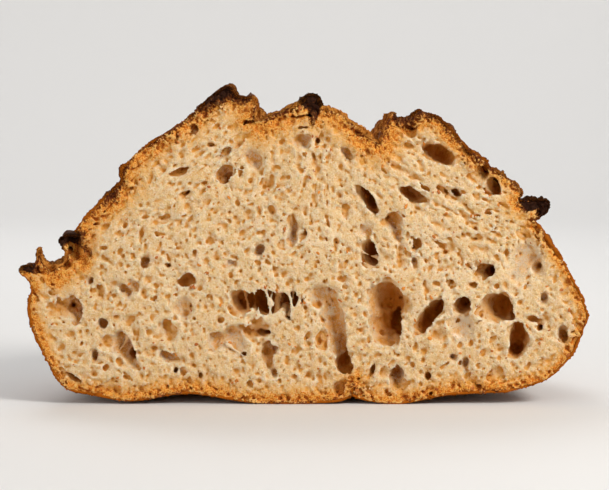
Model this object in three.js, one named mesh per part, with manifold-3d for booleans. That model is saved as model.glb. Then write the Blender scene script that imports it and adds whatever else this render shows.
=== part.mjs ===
// Half of a round country loaf, cut straight through the middle and standing on its base.
// Millimetres, +Z up. The cut face looks along -Y, and the origin is on the table under the middle
// of the half loaf. One solid: a dome with a flat base, three scores that opened in the oven, the
// lips they raised, a crease in the base, and the large cells that show in the cut.
import * as THREE from "three";
import { mergeVertices } from "three/addons/utils/BufferGeometryUtils.js";
import Module from "manifold-3d";

// ---- Driving dimensions ----
const HALF_WIDTH = 114.8; // of the cut face
const DEPTH = 112; // from the cut face to the back of the loaf
const WIDEST = 36; // height at which the loaf is widest
const DOME = 86; // from there to the top of the smooth dome
const UNDERSIDE = 38.5; // from there down to where a rounded base would reach, before it sagged flat
const DOME_POWER = 1.62; // 2 is an ellipse, and less has straighter flanks
const UNDERSIDE_POWER = 3;
const PLAN_POWER = 2.15;
const BACK_POWER = 1.85;
const CUT_Y = -DEPTH / 2;

// ---- The edge of the cut face ----
// Seen from the front and followed anticlockwise, as [x, height]. Each stretch is one smooth curve
// and meets the next at a corner. `reach` is how far back its own shape runs before the dome is plain.
const THROUGH = 0.94 * DEPTH;
const FADES_FROM = 0.3; // share of its reach over which a stretch keeps its full shape
const EDGE = [
  { part: "base, right", reach: 34, through: [[19.6, 7.6], [20.8, 2.6], [38, 0], [58, 3.6], [82, 4.8]] },
  { part: "right foot", reach: THROUGH, through: [[82, 4.8], [98, 10.2], [108.6, 21], [HALF_WIDTH, 36]] },
  {
    part: "right flank", reach: THROUGH,
    through: [[HALF_WIDTH, 36], [109.6, 48], [100, 64], [92.8, 74.4]],
  },
  { part: "right ear", reach: 30, through: [[92.8, 74.4], [97.4, 79.4], [95.8, 82.6], [86, 82.6]] },
  { part: "under crust edge", reach: 66, through: [[86, 82.6], [87.4, 86], [83, 90.6], [74, 96.6]] },
  {
    part: "right shoulder", reach: THROUGH,
    through: [[74, 96.6], [62, 107], [55, 114.8], [46, 118.4], [42, 115.8]],
  },
  { part: "right lip", reach: 98, through: [[42, 115.8], [37.6, 116], [34.8, 118]] },
  { part: "right score wall", reach: 98, through: [[34.8, 118], [32, 112], [29.6, 105.6]] },
  { part: "bloom, right", reach: 98, through: [[29.6, 105.6], [22, 111.4], [14, 117.4], [6, 119.8]] },
  { part: "bloom knob", reach: 20, through: [[6, 119.8], [4.8, 124.2], [1.6, 124.8], [-2, 121.2]] },
  { part: "bloom, left", reach: 98, through: [[-2, 121.2], [-10, 118.4], [-17, 114.8], [-19.6, 115.2]] },
  { part: "left score wall", reach: 98, through: [[-19.6, 115.2], [-19.4, 120], [-20.8, 124]] },
  { part: "left lip", reach: 98, through: [[-20.8, 124], [-26.6, 124.4], [-31, 128], [-38.8, 123.6]] },
  {
    part: "left shoulder", reach: THROUGH,
    through: [[-38.8, 123.6], [-50, 113.6], [-65, 104], [-73.8, 95.2]],
  },
  { part: "blister", reach: 40, through: [[-73.8, 95.2], [-75, 88.6], [-84, 80.8], [-92.8, 70.4]] },
  {
    part: "left ear", reach: 30,
    through: [[-92.8, 70.4], [-90.4, 68.6], [-96.4, 68.4], [-99.2, 66], [-96.2, 62]],
  },
  { part: "left score", reach: THROUGH, through: [[-96.2, 62], [-97.4, 58], [-102, 54.8]] },
  { part: "lower lip, spike", reach: 16, through: [[-102, 54.8], [-105.6, 59], [-107.2, 63.6]] },
  {
    part: "lower lip", reach: 22,
    through: [[-107.2, 63.6], [-109, 57.4], [-114, 55.4], [-HALF_WIDTH, 53]],
  },
  {
    part: "left flank", reach: THROUGH,
    through: [[-HALF_WIDTH, 53], [-110.8, 48], [-111.6, 37], [-106.4, 21]],
  },
  { part: "left foot", reach: THROUGH, through: [[-106.4, 21], [-97.6, 7], [-86, 3.6]] },
  {
    part: "base, left", reach: 34,
    through: [[-86, 3.6], [-70, 1.2], [-47, 4.2], [-20, 0.4], [10, 0.6], [18.4, 2.8]],
  },
  { part: "crease", reach: 30, through: [[18.4, 2.8], [19.3, 4.6], [19.6, 7.6]] },
];
const EDGE_STEP = 5; // the longest side of the edge
const LEAST_TURN = 2e-3; // radians from one point of the edge to the next
const RINGS = 23; // sections between the cut face and the back

// The middle score closes towards the back: `closes` is the share of its width that it loses there.
const MIDDLE_SCORE = { at: THREE.MathUtils.degToRad(87), spread: 0.42, closes: 0.5 };
// The lips rise and fall by this share of their height on their way back, one after the other.
const LIP_WAVE = { height: 0.2, length: 46, turns: 3, starts: 20 };
// Low swells of the baked skin. They begin behind the cut and stop towards the back and the base.
const SWELLS = {
  height: 1.1,
  starts: 40,
  ends: 0.8 * DEPTH,
  baseEdge: { from: -0.3, to: 0.1 }, // as the sine of the angle on the dome
  broad: { around: 7, along: 52 },
  small: { around: 15, along: 29 },
};

// ---- The large cells in the cut ----
// [x, height, width, length, lean from upright in degrees (positive to the left), depth]: half
// ellipsoids that open in the cut face.
const CELLS = [
  [34.4, 38.4, 15, 27, 8, 17], // the deepest, right of the middle
  [31, 27.4, 8, 11, -8, 9],
  [-17.6, 41, 27, 10.4, 0, 15], // the long one, crossed by strands
  [8.6, 42, 14, 10, 0, 8],
  [14.4, 30.4, 8.4, 26, 13, 8],
  [16.4, 16.6, 6.6, 9, 10, 12],
  [50.4, 36.2, 6.6, 18.4, -32, 12],
  [63.6, 39.6, 7, 8.6, -38, 11],
  [78.2, 37.4, 13, 11.6, 0, 12],
  [86.2, 24.8, 9, 17.4, -9, 12],
  [103.2, 29.2, 4.4, 8, 3, 7],
  [24.4, 83.2, 5.8, 15.4, 27, 12],
  [25.4, 61.4, 8.2, 10.8, 0, 13],
  [36, 70.4, 6, 13, 18, 6],
  [43, 83.4, 5.8, 13.6, 57, 9],
  [52.4, 102, 7.4, 14.4, 57, 10],
  [74.2, 89.8, 6.6, 12.4, 50, 10],
  [72.4, 54.4, 6.4, 6, 0, 10],
  [90, 56, 15, 17, 0, 5],
  [-45, 112, 3.4, 3.8, -45, 5],
  [-33.4, 92.6, 4.6, 9, -60, 5],
  [-48.6, 49.2, 10.4, 3, 0, 6],
  [-74, 45.2, 5, 9.8, 45, 6],
  [-94.8, 38.2, 6.4, 11.4, 12, 8],
  [-73, 22.6, 9, 14.6, 25, 9],
  [-93.2, 11.4, 3, 8.4, 52, 6],
  [-28, 25, 13.6, 13.6, 0, 6],
  [-18.8, 29, 7, 4.8, 12, 8],
  [36.8, 10.8, 5.6, 10.2, -6, 8],
  [64, 15.6, 4.4, 7.2, 0, 7],
];
const CELL_SIDES = 12;
const CELL_BANDS = 7;
const WELD = 1e-4; // points closer than this are one

// ---- The smooth dome ----
const easedStep = (from, to, value) => THREE.MathUtils.smoothstep(value, from, to);
const shrink = (share, power) => Math.pow(Math.max(0, 1 - Math.pow(share, power)), 1 / power);

// The point of the smooth dome `back` mm behind the cut face, seen along `angle` from the middle of
// its widest level. The underside is pressed flat on the table.
function domePoint(angle, back) {
  const share = back / DEPTH;
  const above = Math.sin(angle) >= 0;
  const power = above ? DOME_POWER : UNDERSIDE_POWER;
  const wide = HALF_WIDTH * shrink(share, PLAN_POWER);
  const tall = above ? DOME * shrink(share, BACK_POWER) : UNDERSIDE * shrink(share, UNDERSIDE_POWER);
  const reach =
    Math.pow(Math.abs(Math.cos(angle)) / wide, power) + Math.pow(Math.abs(Math.sin(angle)) / tall, power);
  const radius = Math.pow(reach, -1 / power);
  return new THREE.Vector2(radius * Math.cos(angle), Math.max(0, WIDEST + radius * Math.sin(angle)));
}

// The edge as evenly spaced points, each with the angle at which the dome carries it. The angle never
// turns back, so an overhanging lip is carried by the stretch of dome below it.
function edgePoints() {
  const points = [];
  for (const stretch of EDGE) {
    const curve = new THREE.SplineCurve(stretch.through.map(([x, z]) => new THREE.Vector2(x, z)));
    const steps = Math.max(2, Math.ceil(curve.getLength() / EDGE_STEP));
    for (const at of curve.getSpacedPoints(steps).slice(0, -1)) {
      points.push({ at, reach: stretch.reach });
    }
  }
  let last = -Infinity;
  for (const point of points) {
    let angle = Math.atan2(point.at.y - WIDEST, point.at.x);
    if (angle < last - Math.PI) angle += 2 * Math.PI;
    last = Math.max(angle, last + LEAST_TURN);
    point.angle = last;
  }
  for (const point of points) {
    point.offset = point.at.clone().sub(domePoint(point.angle, 0));
  }
  return points;
}

// How far the skin swells out of the smooth dome.
function swell(angle, back) {
  const wave = ({ around, along }) => Math.sin(around * angle + (2 * Math.PI * back) / along)
    * Math.cos((2 * Math.PI * back) / along - around * angle / 2);
  const { height, starts, ends, baseEdge, broad, small } = SWELLS;
  const above = easedStep(baseEdge.from, baseEdge.to, Math.sin(angle));
  const along = easedStep(0, starts, back) * (1 - easedStep(ends, DEPTH, back));
  return height * above * along * (wave(broad) + wave(small) / 2);
}

// Where an edge point has got to `back` mm behind the cut face.
function skinPoint(point, back) {
  const { at, spread, closes } = MIDDLE_SCORE;
  const aside = point.angle - at;
  const pinch = closes * easedStep(0, DEPTH, back) * Math.exp(-((aside / spread) ** 2));
  const angle = at + aside * (1 - pinch);
  const kept = 1 - easedStep(FADES_FROM * point.reach, point.reach, back);
  const phase = (2 * Math.PI * back) / LIP_WAVE.length + LIP_WAVE.turns * point.angle;
  const wave = 1 + LIP_WAVE.height * Math.sin(phase) * easedStep(0, LIP_WAVE.starts, back);
  const outward = new THREE.Vector2(Math.cos(angle), Math.sin(angle));
  return domePoint(angle, back)
    .addScaledVector(point.offset, kept * wave)
    .addScaledVector(outward, swell(angle, back));
}

function loafGeometry() {
  const edge = edgePoints();
  const places = [];
  for (let ring = 0; ring < RINGS; ring++) {
    const back = DEPTH * Math.sin((Math.PI / 2) * (ring / RINGS));
    for (const point of edge) {
      const { x, y: height } = skinPoint(point, back);
      places.push(x, CUT_Y + back, Math.max(0, height));
    }
  }
  places.push(0, CUT_Y + DEPTH, WIDEST);
  const backPole = RINGS * edge.length;
  const faces = [];
  for (let i = 0; i < edge.length; i++) {
    const next = (i + 1) % edge.length;
    for (let ring = 0; ring < RINGS - 1; ring++) {
      const near = ring * edge.length;
      const far = near + edge.length;
      faces.push(near + i, far + next, near + next, near + i, far + i, far + next);
    }
    const last = (RINGS - 1) * edge.length;
    faces.push(last + i, backPole, last + next);
  }
  for (const face of THREE.ShapeUtils.triangulateShape(edge.map((point) => point.at), [])) {
    faces.push(...face);
  }
  const geometry = new THREE.BufferGeometry();
  geometry.setAttribute("position", new THREE.Float32BufferAttribute(places, 3));
  geometry.setIndex(faces);
  return geometry;
}

function cellGeometry([x, height, width, length, lean, depth]) {
  return new THREE.SphereGeometry(1, CELL_SIDES, CELL_BANDS)
    .rotateX(Math.PI / 2)
    .scale(width / 2, depth, length / 2)
    .rotateY(THREE.MathUtils.degToRad(-lean))
    .translate(x, CUT_Y, height);
}

// ---- Cutting the cells out of the loaf ----
const wasm = await Module();
wasm.setup();

function solidOf(geometry) {
  const bare = geometry.clone();
  bare.deleteAttribute("normal");
  bare.deleteAttribute("uv");
  const merged = mergeVertices(bare, WELD);
  return new wasm.Manifold(
    new wasm.Mesh({
      numProp: 3,
      vertProperties: merged.attributes.position.array,
      triVerts: new Uint32Array(merged.index.array),
    }),
  );
}

function geometryOf(solid) {
  const { vertProperties, triVerts } = solid.getMesh();
  const geometry = new THREE.BufferGeometry();
  geometry.setAttribute("position", new THREE.BufferAttribute(vertProperties, 3));
  geometry.setIndex(new THREE.BufferAttribute(triVerts, 1));
  return geometry;
}

let solid = solidOf(loafGeometry());
for (const cell of CELLS) {
  solid = solid.subtract(solidOf(cellGeometry(cell)));
}

const bread = new THREE.MeshStandardMaterial({ color: 0xb5793a, roughness: 0.85, metalness: 0 });
const loaf = new THREE.Mesh(geometryOf(solid), bread);
loaf.name = "loaf";

const group = new THREE.Group();
group.add(loaf);
export default group;
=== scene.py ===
# %% [markdown]
# # Half of a round country loaf
# The loaf was cut straight through the middle and stands on its baked underside. What the eye sees is
# the open crumb of the cut, a thin band of crust round it, and behind it the baked skin with the three
# scores that opened in the oven. The solid of the frame has the true outline but plain facets, so two
# pieces stand for it here: `crust`, the baked skin, and `crumb`, the slab of open crumb behind the cut.
# Three more lie on those two: `bran`, `crumb_bits` and `crust_flakes`.
# Lengths are in millimetres until a mesh is made, because a loaf is easier to think of that way.

# %% Load the frame
import math
from types import SimpleNamespace

import bpy
import numpy as np
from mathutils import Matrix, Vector
from mathutils.kdtree import KDTree


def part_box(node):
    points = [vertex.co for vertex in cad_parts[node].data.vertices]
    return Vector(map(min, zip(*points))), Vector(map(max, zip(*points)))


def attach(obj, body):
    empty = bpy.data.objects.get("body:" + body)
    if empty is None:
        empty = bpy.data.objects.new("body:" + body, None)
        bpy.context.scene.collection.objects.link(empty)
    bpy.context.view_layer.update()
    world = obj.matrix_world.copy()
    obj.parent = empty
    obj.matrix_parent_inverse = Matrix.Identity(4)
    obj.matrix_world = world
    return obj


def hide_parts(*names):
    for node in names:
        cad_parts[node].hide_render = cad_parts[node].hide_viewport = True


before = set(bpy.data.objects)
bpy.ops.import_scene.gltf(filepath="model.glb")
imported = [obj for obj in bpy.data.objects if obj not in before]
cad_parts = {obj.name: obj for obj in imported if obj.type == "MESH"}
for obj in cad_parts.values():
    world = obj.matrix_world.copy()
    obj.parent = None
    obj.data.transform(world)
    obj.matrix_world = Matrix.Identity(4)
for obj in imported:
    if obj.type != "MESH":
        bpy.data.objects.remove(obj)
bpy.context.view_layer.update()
MM = 0.001
low, high = (np.array(corner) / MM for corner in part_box("loaf"))
HALF_WIDTH = high[0]
DEPTH = high[1] - low[1]
CUT_Y = low[1]
print(f"frame: {2 * HALF_WIDTH:.1f} wide, {DEPTH:.1f} deep, {high[2]:.1f} high")

# %% [markdown]
# ## The outline of the cut
# A free-standing loaf sags flat underneath, leans out to its widest level and rises in a dome. The
# scores tear that dome open: each leaves a wall, a lip and a thin charred ear. Seen from the front the
# edge is a chain of smooth stretches that meet at corners, so it is written as that chain. Three more
# numbers say how each stretch was baked: `torn` is 1 where the scores opened the dough, `char` is 1
# where a thin edge burnt dark, and `browned` is how many millimetres the colour goes in.

# %% The stretches of the edge
# part, reach back in the loaf, torn, char, browned, points as (x, height), anticlockwise from the front
THROUGH = 0.94 * DEPTH
EDGE = [
    ("base, right", 34, 0, 0.2, 3.6, [(19.6, 7.6), (20.8, 2.6), (38, 0), (58, 3.6), (82, 4.8)]),
    ("right foot", THROUGH, 0, 0.15, 2.9, [(82, 4.8), (98, 10.2), (108.6, 21), (HALF_WIDTH, 36)]),
    ("right flank", THROUGH, 0, 0.25, 2.4, [(HALF_WIDTH, 36), (109.6, 48), (100, 64), (92.8, 74.4)]),
    ("right ear", 30, 0.5, (0.7, 1.3, 1.4, 0.9), 4.5,
     [(92.8, 74.4), (97.4, 79.4), (95.8, 82.6), (86, 82.6)]),
    ("under crust edge", 66, 0.5, 0.65, 3, [(86, 82.6), (87.4, 86), (83, 90.6), (74, 96.6)]),
    ("right shoulder", THROUGH, 0, (0.55, 0.6, 0.75, 0.8), 3.8,
     [(74, 96.6), (62, 107), (55, 114.8), (46, 118.4), (42, 115.8)]),
    ("right lip", 98, 0.2, (0.85, 0.8, 0.95), 5, [(42, 115.8), (37.6, 116), (34.8, 118)]),
    ("right score wall", 98, 1, 0.35, 5, [(34.8, 118), (32, 112), (29.6, 105.6)]),
    ("bloom, right", 98, 1, 0.35, 5.5, [(29.6, 105.6), (22, 111.4), (14, 117.4), (6, 119.8)]),
    ("bloom knob", 20, 0.6, 1, 6, [(6, 119.8), (4.8, 124.2), (1.6, 124.8), (-2, 121.2)]),
    ("bloom, left", 98, 1, 0.55, 6, [(-2, 121.2), (-10, 118.4), (-17, 114.8), (-19.6, 115.2)]),
    ("left score wall", 98, 1, 0.35, 4.5, [(-19.6, 115.2), (-19.4, 120), (-20.8, 124)]),
    ("left lip", 98, 0.2, (0.85, 0.85, 1.1, 0.95), 5.5,
     [(-20.8, 124), (-26.6, 124.4), (-31, 128), (-38.8, 123.6)]),
    ("left shoulder", THROUGH, 0, (0.95, 0.55, 0.45, 0.6), 4.4,
     [(-38.8, 123.6), (-50, 113.6), (-65, 104), (-73.8, 95.2)]),
    ("blister", 40, 0, (0.6, 0.75, 0.3, 0.45), 5,
     [(-73.8, 95.2), (-75, 88.6), (-84, 80.8), (-92.8, 70.4)]),
    ("left ear", 30, 0.4, (0.4, 0.9, 1.3, 1.3, 1.2, 0.5), 4,
     [(-92.8, 70.4), (-90.4, 68.6), (-96.4, 68.4), (-99.2, 66), (-96.2, 62)]),
    ("left score", THROUGH, 1, (0.3, 0.35, 0.2), 5.5, [(-96.2, 62), (-97.4, 58), (-102, 54.8)]),
    ("lower lip, spike", 16, 0.9, (0.2, 0.55), 6, [(-102, 54.8), (-105.6, 59), (-107.2, 63.6)]),
    ("lower lip", 22, 0.6, (0.5, 0.5, 1.2, 0.6), 5,
     [(-107.2, 63.6), (-109, 57.4), (-114, 55.4), (-HALF_WIDTH, 53)]),
    ("left flank", THROUGH, 0, 0.3, 2.6, [(-HALF_WIDTH, 53), (-110.8, 48), (-111.6, 37), (-106.4, 21)]),
    ("left foot", THROUGH, 0, 0.15, 2.6, [(-106.4, 21), (-97.6, 7), (-86, 3.6)]),
    ("base, left", 34, 0, 0.2, 3.6,
     [(-86, 3.6), (-70, 1.2), (-47, 4.2), (-20, 0.4), (10, 0.6), (18.4, 2.8)]),
    ("crease", 30, 0, 0.6, 4.5, [(18.4, 2.8), (19.3, 4.6), (19.6, 7.6)]),
]
COLUMNS = 1408  # points round the edge, with many factors of two so that rings can thin out


# %% The edge as one chain of even steps
def curve_through(points, per_span=40):
    """The smooth curve through a few points, as a fine chain."""
    p = np.array([points[0], *points, points[-1]], float)
    t = np.linspace(0, 1, per_span, endpoint=False)[:, None]
    spans = []
    for p0, p1, p2, p3 in zip(p, p[1:], p[2:], p[3:]):
        leave, arrive = (p2 - p0) / 2, (p3 - p1) / 2
        spans.append((2 * p1 - 2 * p2 + leave + arrive) * t**3
                     + (3 * p2 - 3 * p1 - 2 * leave - arrive) * t**2 + leave * t + p1)
    return np.vstack([*spans, p[-1:]])


def evenly(chain, count):
    """`count` points at equal steps along a chain, without its end."""
    along = np.concatenate([[0], np.cumsum(np.linalg.norm(np.diff(chain, axis=0), axis=1))])
    at = np.linspace(0, along[-1], count, endpoint=False)
    return np.stack([np.interp(at, along, chain[:, i]) for i in range(2)], axis=1)


chains = [curve_through(points) for *_, points in EDGE]
lengths = np.array([np.linalg.norm(np.diff(chain, axis=0), axis=1).sum() for chain in chains])
ends = np.round(np.cumsum(lengths) / lengths.sum() * COLUMNS).astype(int)
counts = np.diff(ends, prepend=0)
edge = np.vstack([evenly(chain, count) for chain, count in zip(chains, counts)])
reach, torn, browned = (np.repeat([row[i] for row in EDGE], counts).astype(float) for i in (1, 2, 4))
char = [np.interp(np.linspace(0, 1, count), np.linspace(0, 1, np.size(row[3])), np.atleast_1d(row[3]))
        for row, count in zip(EDGE, counts)]
char = np.concatenate(char)
SPACING = lengths.sum() / COLUMNS
print(f"edge of the cut: {lengths.sum():.0f} mm round, a point every {SPACING:.2f} mm")

# %% [markdown]
# ## The dome behind the cut
# The baker's dome is a half ellipsoid with rather straight flanks: a superellipse does that with one
# exponent. Each point of the edge rides back on this dome at its own angle, and what it had more or
# less than the dome at the cut fades out over its `reach`. That is the rule the solid follows too, so
# the skin made here fits it everywhere.

# %% Sizes of the dome
WIDEST = 36.0  # height at which the loaf is widest
DOME, UNDERSIDE = 86.0, 38.5  # from there up to the smooth top, and down to where a round base would reach
DOME_POWER, UNDERSIDE_POWER, PLAN_POWER, BACK_POWER = 1.62, 3.0, 2.15, 1.85
FADES_FROM = 0.3  # share of its reach at which a stretch of the edge starts to fade out
CALM_COLUMNS, CALMS = 12, (25, 70)  # how widely the angles are evened out, and how far back that sets in
MIDDLE_SCORE = {"at": math.radians(87), "spread": 0.42, "closes": 0.5}
LIP_WAVE = {"height": 0.2, "length": 46.0, "turns": 3, "starts": 20.0}
SWELLS = {"height": 1.1, "starts": 40.0, "ends": 0.8 * DEPTH, "broad": (7, 52.0), "small": (15, 29.0)}
BASE_EDGE = (-0.3, 0.1)  # sines of the angles between which the swells stop above the base


# %% The dome's rule
def eased(start, end, value):
    """0 at the start, 1 at the end and a soft S between; also where the end is the smaller one."""
    t = np.clip((value - start) / (end - start), 0, 1)
    return t * t * (3 - 2 * t)


def shrink(share, power):
    return np.maximum(0, 1 - share**power) ** (1 / power)


def dome_point(angle, back):
    """Where a ray from the widest level at this angle meets the smooth dome, so far behind the cut."""
    share = np.clip(back / DEPTH, 0, 1)
    above = np.sin(angle) >= 0
    power = np.where(above, DOME_POWER, UNDERSIDE_POWER)
    wide = np.maximum(HALF_WIDTH * shrink(share, PLAN_POWER), 1e-6)
    tall = np.where(above, DOME * shrink(share, BACK_POWER), UNDERSIDE * shrink(share, UNDERSIDE_POWER))
    tall = np.maximum(tall, 1e-6)
    aside, up = np.abs(np.cos(angle)) / wide, np.abs(np.sin(angle)) / tall
    radius = (aside**power + up**power) ** (-1 / power)
    return radius * np.cos(angle), np.maximum(0, WIDEST + radius * np.sin(angle))


def swell(angle, back):
    """Low, broad swells of the dome, none at the cut, at the back and underneath."""
    total = 0
    for share, (around, along) in ((1, SWELLS["broad"]), (0.5, SWELLS["small"])):
        run = 2 * math.pi * back / along
        total = total + share * np.sin(around * angle + run) * np.cos(run - around * angle / 2)
    ends = eased(0, SWELLS["starts"], back) * (1 - eased(SWELLS["ends"], DEPTH, back))
    return SWELLS["height"] * eased(*BASE_EDGE, np.sin(angle)) * ends * total


def round_mean(values, sigma):
    """Values round a closed edge, smoothed over `sigma` columns."""
    turns = np.fft.rfftfreq(len(values))[:, None]
    bell = np.exp(-2 * (math.pi * sigma * turns) ** 2)
    smooth = np.fft.rfft(values.reshape(len(values), -1), axis=0) * bell
    return np.fft.irfft(smooth, len(values), axis=0).reshape(values.shape)


# %% The skin behind the cut
angle = np.unwrap(np.arctan2(edge[:, 1] - WIDEST, edge[:, 0]))
angle = np.maximum.accumulate(angle)
even_angle = np.linspace(angle[0], angle[0] + 2 * math.pi, COLUMNS, endpoint=False)
calm_angle = even_angle + round_mean(angle - even_angle, CALM_COLUMNS)  # no longer crowded at an ear
offset = edge - np.stack(dome_point(angle, 0.0), axis=1)


def skin(back):
    """The loaf's skin at rows of `back`, as x and height for every column."""
    back = np.atleast_1d(np.asarray(back, float))[:, None]
    aside = angle - MIDDLE_SCORE["at"]
    pinch = MIDDLE_SCORE["closes"] * eased(0, DEPTH, back) * np.exp(-((aside / MIDDLE_SCORE["spread"]) ** 2))
    calm = eased(*CALMS, back)
    at = MIDDLE_SCORE["at"] + (angle * (1 - calm) + calm_angle * calm - MIDDLE_SCORE["at"]) * (1 - pinch)
    kept = 1 - eased(FADES_FROM * reach, reach, back)
    run = 2 * math.pi * back / LIP_WAVE["length"] + LIP_WAVE["turns"] * angle
    wave = 1 + LIP_WAVE["height"] * np.sin(run) * eased(0, LIP_WAVE["starts"], back)
    x, height = dome_point(at, back)
    out = swell(at, back)
    x = x + offset[:, 0] * kept * wave + out * np.cos(at)
    height = height + offset[:, 1] * kept * wave + out * np.sin(at)
    return x, np.maximum(0, height), kept


for where, wide, tall in zip(("at the cut", "half way back"), *skin([0, DEPTH / 2])[:2]):
    print(f"{where} {np.ptp(wide):.1f} wide, {np.ptp(tall):.1f} high")

# %% [markdown]
# ## Random but repeatable roughness
# Dough never bakes evenly. Two helpers give smooth random values: one at any points, for the skin, and
# one on a whole block of space, for the crumb, which is quick because it stretches a coarse lattice one
# axis at a time. Each use has its own seed, so the loaf comes out the same on every run.

# %% Noise helpers
LATTICE = 32  # the random values repeat after so many lumps
FLATTENED = 1.9  # a mean of three knots is flatter than the knots, so a block is stretched by this


def noise_at(points, size, seed):
    """Smooth values from -1 to 1 at points; `size` is how wide the lumps are, or one width for each axis."""
    lattice = np.random.default_rng(seed).uniform(-1, 1, (LATTICE,) * 3)
    cell = points / np.asarray(size, float)
    whole = np.floor(cell).astype(int)
    part = cell - whole
    part = part * part * (3 - 2 * part)
    total = np.zeros(points.shape[:-1])
    for corner in np.ndindex(2, 2, 2):
        weight = np.prod(np.where(corner, part, 1 - part), axis=-1)
        i = (whole + corner) % LATTICE
        total += weight * lattice[i[..., 0], i[..., 1], i[..., 2]]
    return total


def added_noise(points, layers):
    """Noise of several sizes added up; each layer is (height, size, seed)."""
    return sum(height * noise_at(points, size, seed) for height, size, seed in layers)


def spread_weights(places, size):
    """How much each knot of a coarse row counts at each place: a soft bell three knots wide."""
    at = (places - places[0]) / size + 1
    knots = np.arange(int(at[-1]) + 3)
    gap = np.abs(at[:, None] - knots)
    return np.where(gap < 0.5, 0.75 - gap**2, np.where(gap < 1.5, (1.5 - gap) ** 2 / 2, 0))


def noise_block(axes, size, seed):
    """Smooth random values over a block of space, about -1 to 1."""
    weights = [spread_weights(axis, s) for axis, s in zip(axes, np.broadcast_to(size, 3))]
    knots = np.random.default_rng(seed).uniform(-1, 1, [w.shape[1] for w in weights])
    for w in weights:
        knots = np.tensordot(knots, w.T.astype(np.float32), axes=(0, 0))
    return (knots * FLATTENED).astype(np.float32)


def bumps_at(points, size, most, seed):
    """Round bumps scattered one to a cell of `size`: 1 on top, 0 beside them, at `most` cells in radius."""
    cell = np.floor(points / size).astype(int)
    rng = np.random.default_rng(seed)
    centres = rng.uniform(0.2, 0.8, (LATTICE, LATTICE, LATTICE, 3))
    radii = most * rng.uniform(0.2, 1, (LATTICE,) * 3)
    total = np.zeros(points.shape[:-1])
    for step in np.ndindex(3, 3, 3):
        near = cell + np.array(step) - 1
        i = tuple((near % LATTICE)[..., k] for k in range(3))
        away = np.linalg.norm(points / size - near - centres[i], axis=-1)
        total = np.maximum(total, 1 - (away / np.maximum(radii[i], 1e-3)) ** 2)
    return total


print("noise:", np.round(noise_at(np.array([[1.0, 2, 3], [40, 5, 60]]), 7, 1), 3))

# %% [markdown]
# ## The crust
# The skin is a grid of rings round the loaf. The rings are close at the cut, where the eye is, and the
# columns thin out by halves where a ring gets shorter, so that no part has needless faces. Then the
# grid is pushed in and out along its own normals: low lumps and fine wrinkles everywhere, blisters on
# the skin that faced the heat, and a rough, stringy grain where the scores tore the dough open.

# %% Rings and columns of the skin
RIM = 0.35  # the skin starts this far behind the cut, so the cut itself belongs to the crumb
FRONT_STEP, BACK_STEP, WIDENS = 0.5, 1.15, 0.05  # between rings at the cut and at the back, and growth per mm


def ring_places():
    """How far behind the cut each ring is: equal steps along the plan's curve, finer at the front."""
    turn = np.linspace(0, math.pi / 2, 4000)
    back = DEPTH * np.sin(turn) ** (2 / PLAN_POWER)
    aside = HALF_WIDTH * np.cos(turn) ** (2 / PLAN_POWER)
    run = np.concatenate([[0], np.cumsum(np.hypot(np.diff(back), np.diff(aside)))])
    at = [RIM]
    while at[-1] < run[-1] - 1.5 * BACK_STEP:
        at.append(at[-1] + min(BACK_STEP, FRONT_STEP + WIDENS * at[-1]))
    return np.interp(at, run, back)


rings = ring_places()
x, height, kept = skin(rings)
grid = np.stack([x, np.broadcast_to(CUT_Y + rings[:, None], x.shape), height], axis=-1)
round_step = np.roll(grid, -1, axis=1) - np.roll(grid, 1, axis=1)
back_step = np.gradient(grid, axis=0)
normal = np.cross(round_step, back_step)
normal /= np.maximum(np.linalg.norm(normal, axis=-1, keepdims=True), 1e-9)
if (normal[len(rings) // 3, :, 2] * np.sign(grid[len(rings) // 3, :, 2] - WIDEST)).mean() < 0:
    normal = -normal
print(f"skin: {len(rings)} rings of {COLUMNS} points")

# %% Where the skin is torn and burnt
RAGGED = [(0.5, 9, 9), (0.3, 3.5, 10)]  # what frays the borders: share, size, seed
FRAYS, SETTLES = 6, 16  # how far behind the cut borders are frayed, and burns have spread out sideways
BURN_AT_CUT, BURN_BEHIND = 2, 22  # columns that a burn is spread over

ragged = added_noise(grid, RAGGED)
torn_here = round_mean(torn, 3) * eased(0.05, 0.5, kept)
torn_here = eased(0.3, 0.7, torn_here + ragged * 0.6 * eased(0, FRAYS, rings)[:, None])
settled = eased(0, SETTLES, rings)[:, None]
burn = round_mean(char, BURN_BEHIND) - 0.1 + 0.5 * ragged
char_here = round_mean(char, BURN_AT_CUT) * (1 - settled) + burn * settled
char_here = np.clip(char_here * (0.5 + 0.5 * eased(0.0, 0.6, kept)), 0, 1)
print(f"torn: {torn_here.mean():.0%} of the skin, burnt: {(char_here > 0.5).mean():.0%}")

# %% Push the skin in and out
# height, size and seed of each layer; a size of three numbers is longer along the loaf than across
UNEVEN = [(0.75, 11, 11), (0.45, 3.6, 12), (0.14, 1.3, 13)]  # lumps, wrinkles and creases, all over
STRINGS, FOLDS = (2.6, 9.0, 2.6), (5, 14, 5)  # sizes of the torn grain
GRAIN, FOLDED, CRUMBLY = 1.6, 0.8, 0.35  # heights of the torn grain and of the crumbs on it
RIM_ROUGH = [(0.55, 1.5, 25), (0.4, 0.95, 26)]
BLISTERS = [(1.7, 13.0, 0.36), (1.1, 6.5, 0.46), (0.6, 3.4, 0.46)]  # height, spacing, radius in spacings
CRACK_DEEP, CRACK_WIDE = 0.8, 0.12  # depth, and width as a share of the noise that the cracks follow
BURNT_ROUGH = 0.9
RIM_DEEP = 8  # how far behind the cut the rim is rougher


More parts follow.
